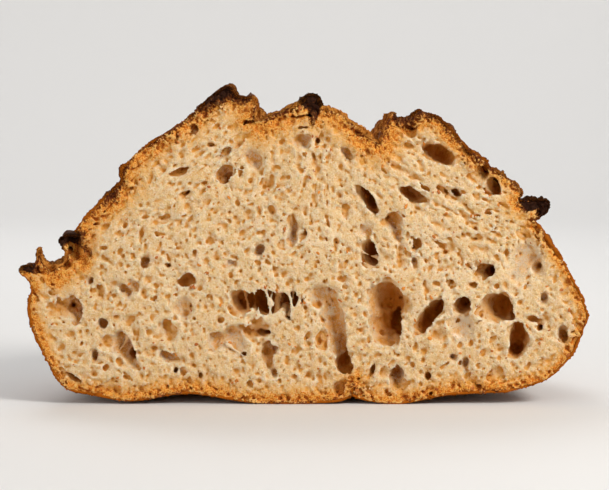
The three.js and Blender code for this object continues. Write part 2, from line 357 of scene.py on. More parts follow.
def skin_blisters():
    """Bubbles of steam under the skin, in three sizes, thick in some places and rare in others."""
    up = eased(-0.35, 0.4, normal[..., 2])
    crowded = eased(-0.3, 0.3, noise_at(grid, 24, 18) + 0.4 * noise_at(grid, 9, 28))
    return sum(tall * bumps_at(grid, spacing, widest, 14 + n) ** 0.7 * (crowded if n else 1)
               for n, (tall, spacing, widest) in enumerate(BLISTERS)) * up


def skin_cracks():
    """Thin cracks, in patches, along the lines where a slow noise passes nought."""
    from_line = np.abs(added_noise(grid, [(1, 8, 17), (0.3, 3, 29)]))
    return -CRACK_DEEP * (1 - eased(0.0, CRACK_WIDE, from_line)) * eased(-0.1, 0.3, noise_at(grid, 17, 27))


def skin_relief():
    """How far the skin moves out, and how much of that is blisters and lumps, which brown first."""
    lumps, blisters = added_noise(grid, UNEVEN), skin_blisters()
    stringy = GRAIN * (0.5 - np.abs(noise_at(grid, STRINGS, 19))) + FOLDED * noise_at(grid, FOLDS, 20)
    crumbly = CRUMBLY * noise_at(grid, 1.2, 21) + CRUMBLY * np.sqrt(bumps_at(grid, 2.1, 0.45, 22))
    relief = lumps + (blisters + skin_cracks()) * (1 - torn_here) + (stringy + crumbly) * torn_here
    rim = eased(RIM_DEEP, 0, rings)[:, None]
    relief = relief + BURNT_ROUGH * char_here**2 * noise_at(grid, 1.7, 23)
    relief = relief + rim * added_noise(grid, RIM_ROUGH)
    relief = relief + rim * torn_here * (noise_at(grid, 2.3, 35) - 0.3)
    front = 0.6 + 0.4 * eased(0, 5, rings)[:, None]
    pole = 1 - eased(0.93 * DEPTH, DEPTH, rings)[:, None]
    under = 1 - 0.85 * eased(-0.5, -0.95, normal[..., 2])
    return relief * front * (0.3 + 0.7 * pole) * under, blisters + 0.6 * lumps


relief, raised = skin_relief()
shaped = grid + normal * relief[..., None]
shaped[..., 2] = np.maximum(shaped[..., 2], 0)
print(f"relief from {relief.min():.2f} to {relief.max():.2f} mm")

# %% [markdown]
# The skin alone would be a sheet with an open mouth at the cut. Real crust has a thickness, so the grid
# turns in at the rim and runs back inside as a second, plainer wall, which a wide cap closes where no
# cell of the crumb reaches. The wall sinks deeper behind the cut, and the side of the crumb stays
# between the two.

# %% Rings of the inner wall
# how far behind the cut and below the skin, and how far apart its points are
INNER = [(0.6, 0.9, 0.6), (3, 1.3, 1.2), (7, 2.4, 1.2), (12, 3.8, 2.0), (16, 4.9, 2.4), (18.5, 5.6, 2.4)]
CAP_BACK = INNER[-1][0]
NEAR_CUT, NEAR_STEP, FAR_STEP = 9, 0.62, 1.3  # on the skin: points this far apart near the cut, and behind it
LOWEST = 0.3  # the inner wall stays this far above the ground


def stride_for(points, finest):
    """The power of two by which a ring can thin out and still have points `finest` apart."""
    step = np.linalg.norm(np.roll(points, -1, axis=0) - points, axis=1).mean()
    return int(2 ** np.clip(np.floor(np.log2(finest / step)), 0, 6))


def inner_ring(back, inset):
    """A ring inside the skin, moved in along its own smoothed normals."""
    x, height, _ = skin(back)
    section = np.stack([x[0], height[0]], axis=1)
    along = np.roll(section, -1, axis=0) - np.roll(section, 1, axis=0)
    out = np.stack([along[:, 1], -along[:, 0]], axis=1)
    out /= np.maximum(np.linalg.norm(out, axis=1, keepdims=True), 1e-9)
    section = section - inset * round_mean(out, (2.5 + inset) / SPACING)
    section[:, 1] = np.maximum(section[:, 1], LOWEST)
    return np.insert(section, 1, CUT_Y + back, axis=1)


# %% Join the rings into a closed shell
def join_rings(loops):
    """Faces between rings of different thinness. Each loop is (first vertex, stride); outward faces."""
    quads, triangles = [], []
    for (near, s), (far, t) in zip(loops, loops[1:]):
        wide = max(s, t)
        c = np.arange(0, COLUMNS, wide)
        n = (c + wide) % COLUMNS
        a, b, d, e = near + c // s, near + n // s, far + c // t, far + n // t
        if s == t:
            quads.append(np.stack([a, b, e, d], axis=1))
        elif s < t:
            middle = near + (c + s) // s
            triangles += [np.stack(f, axis=1) for f in ((a, middle, d), (middle, e, d), (middle, b, e))]
        else:
            middle = far + (c + t) // t
            triangles += [np.stack(f, axis=1) for f in ((a, middle, d), (a, b, middle), (b, e, middle))]
    return quads, triangles


def crust_shell():
    """The points and faces of the whole shell, from the cap's middle round the rim to the back pole."""
    rows = [(inner_ring(back, inset), finest) for back, inset, finest in reversed(INNER)]
    rows += [(ring, NEAR_STEP if back < NEAR_CUT else FAR_STEP) for ring, back in zip(shaped, rings)]
    points, loops = [np.array([[0, CUT_Y + CAP_BACK, WIDEST]])], []
    first, last = 1, None
    for row, finest in rows:
        stride = stride_for(row, finest)
        if last is not None:
            stride = int(np.clip(stride, last // 2, last * 2)) or 1
        last = stride
        points.append(row[::stride])
        loops.append((first, stride))
        first += len(points[-1])
    points.append(np.array([[0, CUT_Y + DEPTH, WIDEST]]))
    quads, triangles = join_rings(loops)
    for pole, (start, stride), flip in ((0, loops[0], False), (first, loops[-1], True)):
        count = COLUMNS // stride
        a = start + np.arange(count)
        b = start + (np.arange(count) + 1) % count
        hub = np.full(count, pole)
        triangles.append(np.stack([a, b, hub] if flip else [b, a, hub], axis=1))
    return np.vstack(points), np.vstack(quads)[:, ::-1], np.vstack(triangles)[:, ::-1], loops


# %% Make a mesh of it
def mesh_piece(name, points, *faces):
    """A mesh object from points in millimetres and arrays of triangles or quads."""
    mesh = bpy.data.meshes.new(name)
    mesh.vertices.add(len(points))
    mesh.vertices.foreach_set("co", (points * MM).astype(np.float32).ravel())
    sizes = np.concatenate([np.full(len(f), f.shape[1]) for f in faces])
    mesh.loops.add(int(sizes.sum()))
    mesh.loops.foreach_set("vertex_index", np.concatenate([f.ravel() for f in faces]).astype(np.int32))
    mesh.polygons.add(len(sizes))
    mesh.polygons.foreach_set("loop_start", np.concatenate([[0], np.cumsum(sizes)[:-1]]).astype(np.int32))
    mesh.update(calc_edges=True)
    piece = bpy.data.objects.new(name, mesh)
    bpy.context.scene.collection.objects.link(piece)
    return piece


def mark(piece, **values):
    """Keeps one number for each vertex, for the materials to read."""
    for name, numbers in values.items():
        layer = piece.data.attributes.new(name, "FLOAT", "POINT")
        layer.data.foreach_set("value", np.asarray(numbers, np.float32))


def triangles_of(piece):
    piece.data.calc_loop_triangles()
    return len(piece.data.loop_triangles)


points, quads, triangles, loops = crust_shell()
crust = mesh_piece("crust", points, quads, triangles)
crust.data.shade_smooth()
print(f"crust: {triangles_of(crust)} triangles")

# %% [markdown]
# ### What the skin knows about itself
# The colour of a crust follows its history, so each point keeps six numbers: how far it is torn open,
# burnt, dusted with flour or raised into a blister, whether it is near the cut, and how many loose
# scales lie there. The coils of a proving basket print the flour in rings, which drift and wear off.

# %% Marks on the crust
BASKET_RINGS = 9.5  # how far apart the rings of flour are
DRIFTS = [(0.8, 30, 24), (0.4, 9, 34), (0.35, 3.4, 44)]  # how the flour lies: share, size, seed

floury = eased(0.1, 0.75, normal[..., 2]) * (1 - torn_here) * (1 - char_here)
from_middle = np.hypot(grid[..., 0], grid[..., 1] - CUT_Y) + 1.5 * noise_at(grid, 14, 54)
basket = np.cos(2 * math.pi * from_middle / BASKET_RINGS)
drifts = added_noise(grid, DRIFTS) + 0.4 * basket
floury = floury * eased(-0.15, 0.5, drifts) * eased(3, 16, rings)[:, None]
loose = eased(6, 0.5, rings)[:, None] * (0.3 + 0.7 * torn_here) + 0.15 * torn_here
loose = loose * eased(1, 2.5, shaped[..., 2])
rim = np.broadcast_to(eased(4, 0.5, rings)[:, None], grid.shape[:2])
layers = {"torn": (torn_here, torn), "char": (char_here, char), "flour": (floury, 0 * torn),
          "scatter": (loose, 0 * torn), "raised": (raised, 0 * torn), "rim": (rim, 0 * torn + 1)}
for name, (outside, within) in layers.items():
    rows = [within] * len(INNER) + list(outside)
    thinned = [row[::stride] for row, (_, stride) in zip(rows, loops)]
    mark(crust, **{name: np.concatenate([[0.0], *thinned, [0.0]])})
print("marks:", list(layers))

# %% [markdown]
# ## The crumb
# A crumb is a foam: cells of every size, some open to each other, all cut by the knife. Pushing a flat
# face in can't give cells that widen behind their mouth, so the crumb is made as a block of small cubes
# that each say how far inside the bread they are. A cell is then one ellipsoid to take away, strands
# are added the same way, and a surface is drawn through the zero of the block. Reading the block
# through a gentle random warp keeps any cell from being a perfect ellipsoid.

# %% The block behind the cut
CUBE = 0.5
SLAB = 20.0  # depth of the crumb that is modelled
TUCK = 0.3  # how far the side of the crumb lies below the skin
TUCK_FROM, TUCK_SLOPE = 3.0, 0.25  # from there backwards it moves further in
KNIFE_AT = 0.4  # how far behind the front of the solid the knife went
KNIFE = [(0.45, 12.0), (0.3, 5.5), (0.15, 1.9)]  # how uneven the cut is: height and size of its lumps
FOLD = {"heights": [3, 95], "x": [20, 6], "proud": 0.5, "wide": 2.2}  # the seam that rises from the crease
MARGIN = 2 * CUBE

x_axis = np.arange(-HALF_WIDTH - MARGIN, HALF_WIDTH + MARGIN, CUBE)
z_axis = np.arange(-MARGIN, high[2] + MARGIN, CUBE)
y_axis = np.arange(-MARGIN, SLAB + MARGIN, CUBE)
axes = (x_axis, z_axis, y_axis)

print(f"block: {len(x_axis)} x {len(z_axis)} x {len(y_axis)} cubes of {CUBE} mm")

# %% How far each place is below the skin
QUARTERS = (0, 0.25, 0.5, 0.75)  # the edge is searched at every quarter of a step
edge_tree = KDTree(COLUMNS * len(QUARTERS))
edge_step = np.roll(edge, -1, axis=0) - edge
for i, (px, pz) in enumerate(np.concatenate([edge + edge_step * part for part in QUARTERS])):
    edge_tree.insert((px, pz, 0), i % COLUMNS)
edge_tree.balance()


def nearest_edge(xs, zs):
    """For each place the distance to the edge of the cut, and which point of it is nearest."""
    found = [edge_tree.find((px, pz, 0))[1:] for px, pz in zip(xs.tolist(), zs.tolist())]
    which, away = np.array(found).T
    return away, which.astype(int)


def inside_edge():
    """True where the block's column is inside the outline, by counting crossings along each row."""
    x0, z0 = edge.T
    x1, z1 = np.roll(edge, -1, axis=0).T
    inside = np.zeros((len(x_axis), len(z_axis)), bool)
    for j, level in enumerate(z_axis):
        crossed = (z0 <= level) != (z1 <= level)
        at = x0[crossed] + (level - z0[crossed]) / (z1 - z0)[crossed] * (x1 - x0)[crossed]
        inside[:, j] = np.searchsorted(np.sort(at), x_axis) % 2 == 1
    return inside


flat_x, flat_z = (a.ravel() for a in np.meshgrid(x_axis, z_axis, indexing="ij"))
away = nearest_edge(flat_x, flat_z)[0].reshape(len(x_axis), -1)
below_skin = np.where(inside_edge(), away, -away).astype(np.float32)
print(f"deepest place: {below_skin.max():.1f} mm below the skin")

# %% The bread before any cell is taken
tuck = TUCK + TUCK_SLOPE * np.maximum(0, y_axis - TUCK_FROM)
front = (x_axis, z_axis, y_axis[:1])
from_fold = x_axis[:, None] - np.interp(z_axis, FOLD["heights"], FOLD["x"])
fold = FOLD["proud"] * np.exp(-((from_fold / FOLD["wide"]) ** 2))
fold = fold * eased(0, 12, z_axis) * eased(100, 80, z_axis)
uneven = sum(tall * noise_block(front, size, 31 + n)[:, :, 0] for n, (tall, size) in enumerate(KNIFE))
knife = KNIFE_AT - fold + uneven
bread = below_skin[:, :, None] - tuck.astype(np.float32)
bread = np.minimum(bread, (y_axis - knife[:, :, None]).astype(np.float32))
bread = np.minimum(bread, (SLAB - y_axis).astype(np.float32))
print(f"bread: {np.mean(bread > 0):.0%} of the block")

# %% Warp the block
WARP = [(1.4, 8.0, 41), (0.25, 2.8, 51)]  # how far it moves a place, size of its lumps, first seed
warped = []
for k, axis in enumerate(axes):
    shape = [1, 1, 1]
    shape[k] = -1
    drift = sum(far * noise_block(axes, size, seed + k) for far, size, seed in WARP)
    warped.append(axis.reshape(shape).astype(np.float32) + drift)
print(f"warp: up to {np.abs(warped[0] - x_axis[:, None, None]).max():.1f} mm")

# %% [markdown]
# ### The cells that give this loaf its face
# The large cells are placed one by one: a deep one right of the middle, a long one crossed by strands, an
# arched gallery, the slanting ones under the right crust, and the shallow bowls near the base. A shallow
# cell is the far end of an ellipsoid whose middle lies in front of the cut, so it makes a wide bowl. A
# deep one is cut through its middle and makes a cave with side chambers and a torn rim.

# %% Places of the large cells
# x, height, width, length, lean of the length from upright in degrees (to the left), depth
CELLS = [
    # the deep one right of the middle
    (33, 40.6, 14.6, 17.6, 5, 10.5), (32.2, 33.4, 11.2, 21, -8, 9.5), (27.6, 36.8, 6.4, 22, 4, 5),
    (35.6, 31.4, 7.4, 12.5, -4, 17), (31.6, 42, 2.6, 3.6, 20, 15), (36.6, 43.4, 3.2, 2.6, 0, 14),
    # the long one that strands cross
    (-26, 41.6, 10.4, 10, 0, 12), (-17.2, 41.6, 13.6, 11.2, 0, 16), (-7.6, 42.4, 9.6, 8, 0, 14),
    # the arched gallery between them
    (7, 43.6, 14, 9, 0, 4), (11.2, 33.4, 11, 26, 17, 4.6), (14.6, 24, 7, 13, 12, 7),
    (16.2, 17, 6.4, 8.4, -8, 11),
    # the row of caves at the right
    (50, 36, 7.2, 18.4, -32, 13), (63.6, 39.6, 7.2, 8.4, -40, 12),
    (76.6, 38, 13.4, 13.6, 0, 13), (81.4, 37.4, 7.4, 9.6, 0, 12), (86.4, 25.6, 9.2, 14.6, -4, 12),
    (84.6, 21.6, 7, 9, -20, 13), (64.4, 30.6, 10, 12.8, 0, 2.8), (92.4, 34.6, 3, 6.6, 80, 8),
    (95.2, 31.6, 2.4, 3.2, 0, 10), (103.2, 29.2, 4, 8, 3, 7),
    # above the deep one, and slanting under the right crust
    (24.4, 83.2, 5.4, 15.6, 24, 13), (25.2, 61.6, 8, 10.8, 0, 14), (24, 69.2, 7.2, 7.2, 0, 4),
    (36, 70.4, 5.4, 12.8, 17, 6), (32.8, 74.4, 2, 2, 0, 9), (42.8, 83.6, 5.2, 13.6, 57, 9),
    (52.4, 102, 7.2, 14.4, 57, 11), (70.4, 94, 6, 6.8, 50, 9), (74.8, 88.8, 7, 8.4, 45, 11),
    (64.4, 101.6, 2.4, 4, 50, 6), (59.6, 86.4, 3.2, 4.8, 65, 9), (54.8, 86.8, 1.4, 2.8, 65, 6),
    (72.4, 54.4, 6.2, 6.2, 0, 13), (40.8, 111.6, 2.6, 3.4, 70, 6),
    # under the upper left crust
    (-44.8, 112, 3.4, 3.6, 0, 8), (-24, 113.6, 2.8, 4.8, 85, 6), (-38.8, 105.6, 2.8, 3.2, 0, 6),
    (-33.2, 93.2, 4.6, 8.8, -60, 5), (-33.2, 101.2, 3.4, 8.8, -68, 3.5), (-50, 94.4, 1.6, 7.2, -65, 7),
    (-48, 85.2, 1.6, 5.6, -55, 5), (-18, 62, 3.4, 5.8, -25, 7), (-30.8, 56, 3.2, 4, -60, 3.5),
    (-48.8, 49.2, 2.8, 10.4, 82, 6), (-65.2, 57.6, 3.6, 4, 0, 5), (-56, 57.2, 2.4, 3.6, 90, 5),
    # the lower left
    (-74, 45.2, 4.8, 9.6, 45, 6), (-70, 47.2, 6, 6, 0, 3.5), (-94.8, 38.4, 6.4, 11.2, 12, 8),
    (-96.8, 38.8, 2, 3.6, 0, 12), (-82, 32.4, 4.4, 6, 30, 6), (-73.2, 22.4, 10, 15.4, 28, 6),
    (-70.8, 20, 3.6, 5, -10, 12), (-85.2, 20.4, 3.6, 6.4, -10, 6), (-60.8, 23.2, 2.6, 3, 0, 5),
    (-54.8, 18.4, 5, 8.8, 55, 5), (-49.6, 38.4, 8.6, 9.4, 0, 3.4), (-58, 31.2, 6, 7, 0, 3),
    # along the base
    (-93.2, 10.8, 2.8, 8.4, 52, 7), (-18.8, 29.6, 4.8, 7, 80, 9), (-28, 25.2, 13.6, 13.6, 0, 4),
    (-25.2, 20.8, 1.6, 4, -55, 9), (-36, 25.2, 6.4, 10.4, 0, 4), (-15.2, 21.2, 5, 7.2, 15, 6),
    (-12, 14, 3.6, 4.8, 0, 5), (-7.6, 36.8, 3.6, 4.8, 90, 8), (36.8, 10.8, 5.6, 10.2, -6, 8),
    (26, 14.4, 2.2, 8, -8, 6), (49.6, 11.6, 3.2, 4, 0, 6), (51.2, 4.8, 2.2, 3.6, 90, 5),
    (64, 15.6, 4.4, 7.2, 0, 7), (59.2, 18.4, 3.2, 4, 0, 4), (70.4, 7.2, 2.4, 4, 85, 5),
    # small ones at the right, and the bowl under the right ear
    (74.4, 10.8, 1.6, 3.2, 90, 3), (55.2, 60.8, 2.4, 2.6, 70, 4), (46, 65.2, 2.4, 2.8, 0, 4),
    (68.8, 66.4, 2, 2.4, 60, 4), (58, 48.8, 2.4, 2.4, 0, 4), (52, 48.8, 1.8, 1.8, 0, 3),
    (47.2, 47.2, 1.6, 3.6, 0, 4), (66.8, 48.4, 2.8, 4.4, 80, 4), (96.4, 42.4, 4, 6.4, 0, 5),
    (92.8, 54.4, 3.6, 4.8, 10, 7), (87.6, 58, 15, 17.6, 0, 3.4), (92.4, 55.4, 5, 9, 8, 4),
    (44, 58.4, 3.2, 5.6, 10, 3.5),
    # under the fold between the scores, and a few more at the left
    (-2, 106, 6.4, 7.2, 80, 5), (4.4, 106.4, 2, 2.2, 0, 6), (16, 100.4, 4, 7.2, 28, 6),
    (3.2, 100.4, 2.4, 4, 0, 3.5), (-21.2, 99.2, 7.2, 8, 70, 4), (-6, 69.2, 4, 11.2, -15, 4),
    (-0.8, 70.4, 2, 3.2, 0, 4), (-5.2, 76, 2, 3, 0, 4), (-88, 49.2, 3.6, 3.6, 0, 4),
    (-87.6, 61.2, 4, 4.8, 0, 6), (-2.8, 115.2, 1.5, 10.4, -88, 7), (-1, 111.6, 1.2, 3.4, 80, 4),
    (14, 6, 3.2, 3.6, 0, 5), (-43.2, 10, 2, 2.4, 80, 5), (-53.2, 12.4, 2, 2.4, 0, 5),
]
print(f"large cells: {len(CELLS)}, the longest {max(length for _, _, _, length, *_ in CELLS)} mm")


# %% Take a cell out of the block
JAGS = [(0.7, 1.5, 84), (0.5, 3.2, 85)]  # what tears the walls of the caves: height, size, seed
WARP_ROOM = 2.4  # the part of the block that a cell is cut from is this much larger all round


def cell_share(at, centre, half, lean, slant):
    """How far places are out in a slanted ellipsoid: 0 at its middle, 1 on its wall."""
    dx, dz = (w - c - s * at[2] for w, c, s in zip(at, centre, slant))
    c, s = math.cos(lean), math.sin(lean)
    across, along = (dx * c + dz * s) / half[0], (dz * c - dx * s) / half[1]
    return np.sqrt(across**2 + along**2 + ((at[2] - centre[2]) / half[2]) ** 2)


jags = sum(height * noise_block(axes, size, seed) for height, size, seed in JAGS).astype(np.float32)


def take_cell(place, half, lean, centre=None, slant=(0.0, 0.0), soft=0.0, jagged=0.0):
    """Takes one ellipsoid out near a place: half sizes across, along and backwards.

    `soft` rounds its mouth, and `jagged` tears its walls."""
    spread = max(half[0], half[1]) + max(map(abs, slant)) * half[2]
    spans = []
    for axis, at, size in zip(axes, place, (spread, spread, half[2])):
        spans.append(slice(*np.searchsorted(axis, (at - size - WARP_ROOM, at + size + WARP_ROOM))))
    spans = tuple(spans)
    at = [w[spans] for w in warped]
    apart = (cell_share(at, place if centre is None else centre, half, lean, slant) - 1) * min(half)
    if jagged:
        apart = apart + jagged * jags[spans]
    here = bread[spans]
    if soft:
        share = np.clip(0.5 + 0.5 * (here - apart) / soft, 0, 1)
        apart = here * (1 - share) + apart * share - soft * share * (1 - share)
    np.minimum(here, apart, out=bread[spans])


# %% Take the large cells out
BOWL = 0.6  # how far in front of the cut the middle of a shallow cell lies, in its depth
SLANT, SLANT_VARIES = (0.3, 0.08), 0.16  # how far a cell drifts right and up for each step back
BOWL_WALL, CAVE_WALL = {"soft": 1.3, "jagged": 0.2}, {"soft": 0.5, "jagged": 0.5}
LOBES = {"count": 5, "size": (0.2, 0.42), "out": 0.92}  # size in the cell's half width, place on its wall


def large_cells():
    """Centre, half sizes, lean and slant of each large cell; a shallow one is a bowl, a deep one a cave."""
    rng = np.random.default_rng(62)
    for cell_x, cell_z, width, length, lean, depth in CELLS:
        bowl = BOWL * eased(9, 5, depth)
        wider = 1 / math.sqrt(1 - (bowl / (1 + bowl)) ** 2)
        slant = np.array(SLANT) + rng.uniform(-SLANT_VARIES, SLANT_VARIES, 2)
        half = (width / 2 * wider, length / 2 * wider, depth * (1 + bowl))
        yield (cell_x, cell_z, -bowl * depth), half, math.radians(lean), slant


def is_bowl(centre):
    return centre[2] < -0.5


def side_lobes(centre, half, lean, rng):
    """Smaller cells that burst into a deep, wide one: they make its mouth uneven."""
    for turn in rng.uniform(0, 2 * math.pi, LOBES["count"] if half[2] > 7 and min(half[:2]) > 2 else 0):
        r = min(half[:2]) * rng.uniform(*LOBES["size"])
        across, along = half[0] * LOBES["out"] * math.cos(turn), half[1] * LOBES["out"] * math.sin(turn)
        c, s = math.cos(lean), math.sin(lean)
        x, z = centre[0] + across * c - along * s, centre[1] + across * s + along * c
        place = (x, z, rng.uniform(-0.3, 0.7) * r)
        take_cell(place, (r, r * rng.uniform(1, 1.7), r), rng.uniform(0, math.pi), soft=0.4)


rng = np.random.default_rng(63)
for centre, half, lean, slant in large_cells():
    take_cell((*centre[:2], 0.0), half, lean, centre, slant, **(BOWL_WALL if is_bowl(centre) else CAVE_WALL))
    side_lobes(centre, half, lean, rng)
print(f"bread after the large cells: {np.mean(bread > 0):.0%} of the block")

# %% [markdown]
# ### The small cells
# Between the large cells the foam is fine. Five kinds are drawn at random, each smaller and more
# numerous than the last. Each is set at the surface that can be seen there, so that it opens into the
# cut or into a larger cell. Near the upper crust they are drawn out along it, as rising dough does, and
# the walls of the widest cells stay nearly smooth.

# %% Kinds of small cells
SMALL = [  # how many, least and most radius, centres behind the surface in radii
    (560, 1.9, 4.2, (-0.92, -0.66)),
    (1500, 1.1, 2.1, (-0.85, -0.35)),
    (260, 0.8, 1.5, (-0.4, 0.4)),
    (4000, 0.6, 1.1, (-0.85, -0.4)),
    (2600, 0.4, 0.6, (-0.6, 0.1)),
]
SMOOTH_FROM, SMOOTH_PITTED = 3.4, 0.3  # from that half width a wall is smooth; share of cells it still gets
DRAWN = 3.1  # how much longer than wide the cells near the upper crust are
GRAIN_DEPTH, GRAIN_AT_RIGHT = (46.0, 12.0), 0.8  # how deep that reaches, and how much deeper at the right
GRAIN_HIGH = (46, 76)  # the heights between which it sets in
BLOOM = {"up": (84, 98), "aside": (30, 14)}  # where the dough rose freely, so that cells stay round
GRAIN_LEAN = {"above": (1.25, 62), "below": (-0.5, 45)}  # degrees for each mm aside, and the most
GRAIN_TURNS = (45, 75)  # the heights between which the one lean becomes the other


def grain_lean(x, z):
    """How the cells lean: along the dome high up, fanned out from the base lower down."""
    (above, most_above), (below, most_below) = GRAIN_LEAN["above"], GRAIN_LEAN["below"]
    share = eased(*GRAIN_TURNS, z)
    lean = np.clip(above * x, -most_above, most_above) * share
    return np.radians(lean + np.clip(below * x, -most_below, most_below) * (1 - share))


def in_smooth_cell(spot):
    """True on the walls of the widest cells, which stay smooth."""
    inside = np.zeros(len(spot), bool)
    for centre, half, lean, slant in large_cells():
        if min(half[:2]) > SMOOTH_FROM:
            inside |= cell_share(spot.T, centre, half, lean, slant) < 1.06
    return inside


# %% Take the small cells out
def nearest_cube(values, axis):
    return np.clip(np.rint((values - axis[0]) / CUBE).astype(int), 0, len(axis) - 1)


def small_cells():
    """Takes out every small cell that fits, and returns how many did."""
    rng = np.random.default_rng(61)
    taken = 0
    for count, least, most, behind in SMALL:
        radius = least * (most / least) ** (rng.random(count) ** 1.7)
        x = rng.uniform(-HALF_WIDTH, HALF_WIDTH, count)
        z = rng.uniform(0, high[2], count)
        i, j = nearest_cube(x, x_axis), nearest_cube(z, z_axis)
        k = np.argmax(bread[i, j] > 0, axis=1)
        spot = np.stack([w[i, j, k] for w in warped], axis=1)  # where the warp takes the surface
        spot[:, 2] += rng.uniform(*behind, count) * radius
        away, _ = nearest_edge(x, z)
        away = away / (1 + GRAIN_AT_RIGHT * eased(-5, 15, x))
        grain = eased(*GRAIN_DEPTH, away) * eased(*GRAIN_HIGH, z)
        grain = grain * (1 - eased(*BLOOM["up"], z) * eased(*BLOOM["aside"], np.abs(x)))
        stretch = 1 + rng.random(count) ** 1.4 * (0.5 + (DRAWN - 0.5) * grain)
        lean = grain_lean(x, z) + rng.normal(0, 1, count) * (0.6 - 0.42 * grain)
        flat = rng.uniform(0.7, 1.2, count)
        fits = (below_skin[i, j] > radius + 0.5) & (y_axis[k] < SLAB - 2.5)
        fits &= ~in_smooth_cell(spot) | (rng.random(count) < SMOOTH_PITTED)
        for n in np.flatnonzero(fits):
            r = radius[n]
            half = (r / stretch[n] ** 0.5, r * stretch[n] ** 0.5, r * flat[n])
            take_cell((x[n], z[n], y_axis[k[n]]), half, lean[n], spot[n], soft=0.3 * r if r > 1 else 0.0)
            taken += 1
    return taken


print(f"small cells: {small_cells()}")

# %% [markdown]
# ### The crust in section
# Towards the skin the foam dries and tightens. The band just inside the skin has fine flat pores that
# lie along it, a few of them dark slits, and it is set apart from the crumb by its colour further on.

# %% Pores of the crust band
BAND = {"pores": 5200, "deep": 6.0, "radius": (0.3, 0.75), "drawn": 1.9}


def band_pores():
    """Takes flat pores out along the edge; returns how many."""
    rng = np.random.default_rng(71)
    column = rng.integers(0, COLUMNS, BAND["pores"])
    along = np.roll(edge, -2, axis=0) - np.roll(edge, 2, axis=0)
    along = round_mean(along, 6)
    inward = np.stack([-along[:, 1], along[:, 0]], axis=1)
    inward /= np.linalg.norm(inward, axis=1, keepdims=True)
    down = 0.9 + BAND["deep"] * rng.random(len(column)) ** 1.4
    spot = edge[column] + inward[column] * down[:, None]
    least, most = BAND["radius"]
    radius = least * (most / least) ** rng.random(len(column))
    behind = rng.uniform(-0.8, 0.6, len(column)) * radius
    lean = np.arctan2(-along[column, 0], along[column, 1]) + rng.normal(0, 0.3, len(column))
    for n in range(len(column)):
        r, drawn = radius[n], 1 + (BAND["drawn"] - 1) * rng.random()
        if spot[n, 1] > 1.2:
            take_cell((*spot[n], behind[n]), (r / drawn**0.5, r * drawn**0.5, r * 1.3), lean[n])
    return np.count_nonzero(spot[:, 1] > 1.2)


print(f"pores of the crust band: {band_pores()}")

# %% [markdown]
# ### Torn pockets
# The left score opened a few cells to the heat of the oven while the loaf was still baking. They are
# cells like the others, but their walls browned, so they are kept in a list of their own, which the
# colours will need again.

# %% Torn pockets
# x, height, width, length, lean, depth
POCKETS = [(-92.6, 64, 6.4, 13, 8, 8), (-89.4, 60, 5, 9.6, 0, 4), (-96, 57.4, 4, 6, 60, 4)]


def pocket_shapes():
    """Centre, half sizes, lean and slant of each pocket."""
    for x, z, width, length, lean, depth in POCKETS:
        yield (x, z, 0.0), (width / 2, length / 2, depth), math.radians(lean), (0.0, 0.0)


for centre, half, lean, slant in pocket_shapes():
    take_cell(centre, half, lean, centre, slant, soft=0.8)
print(f"torn pockets: {len(POCKETS)}")

# %% [markdown]
# ### Strands
# Where two cells met while the dough was still soft, threads of it stayed between them. They are thin
# rods with flared ends that are added back into the long cell and into a few others. The warp of the
# block bends them.

# %% Strands across the long cells
# from (x, height, behind), to (x, height, behind), thickness in the middle
STRANDS = [
    ((-20.4, 47.6, 1.4), (-19.2, 35.0, 2.2), 0.7), ((-15.9, 47.4, 2.0), (-14.4, 41.4, 2.2), 0.9),
    ((-12.9, 47.4, 3.2), (-14.2, 41.2, 2.2), 0.7), ((-14.3, 41.8, 2.2), (-15.2, 34.8, 3.2), 0.8),
    ((-10.8, 47.8, 5.5), (-12.0, 35.2, 6.0), 2.4), ((-7.6, 47.4, 1.0), (-5.4, 36.4, 1.6), 1.0),
    ((-5.4, 47.6, 3.0), (-7.4, 37.0, 4.2), 0.7), ((-2.6, 47.0, 0.8), (-3.8, 38.4, 1.2), 1.7),
    ((-24.6, 46.8, 8.0), (-23.6, 36.0, 7.0), 1.1), ((21.6, 61.6, 3.0), (29.0, 60.2, 3.8), 0.8),
    ((-71.6, 27.6, 3.0), (-76.2, 18.6, 4.0), 0.8), ((-30, 24.4, 3.0), (-22.8, 18.8, 2.4), 0.8),
    ((40.4, 33.4, 2.0), (36.8, 22.4, 1.0), 1.0),
]


FLARE = (0.85, 2.4, 2.6)  # thickness in the middle, how much the ends add, and how late
STRAND_ROOM = 2.5  # as WARP_ROOM, round a strand


def add_strand(start, end, thick):
    """Adds one rod to the block, behind the cut."""
    start, end = np.array(start, float), np.array(end, float)
    reach_out = thick + STRAND_ROOM
    spans = []
    for k, axis in enumerate(axes):
        ends = (min(start[k], end[k]) - reach_out, max(start[k], end[k]) + reach_out)
        spans.append(slice(*np.searchsorted(axis, ends)))
    spans = tuple(spans)
    run = end - start
    offset_to = [w[spans] - s for w, s in zip(warped, start)]
    t = np.clip(sum(d * r for d, r in zip(offset_to, run)) / (run @ run), 0, 1)
    gap = np.sqrt(sum((d - t * r) ** 2 for d, r in zip(offset_to, run)))
    middle, more, late = FLARE
    flare = middle + more * np.abs(2 * t - 1) ** late
    rod = np.minimum(thick / 2 * flare - gap, y_axis[spans[2]] - 0.5)
    np.maximum(bread[spans], rod.astype(np.float32), out=bread[spans])


for strand in STRANDS:
    add_strand(*strand)
print(f"strands: {len(STRANDS)}")

# %% [markdown]
# ### Roughen what shows
# Torn crumb is never smooth. Two fine noises are added to the block, the finer one twice as strong in
# the dry band near the skin. The back of the slab and the sides that lie against the crust stay calm,
# because nobody sees them and each bump would cost triangles.

# %% Roughen the crumb
ROUGH, FINE_ROUGH, DRY_ROUGH = 0.18, 0.16, 0.2  # heights; the last is added near the skin

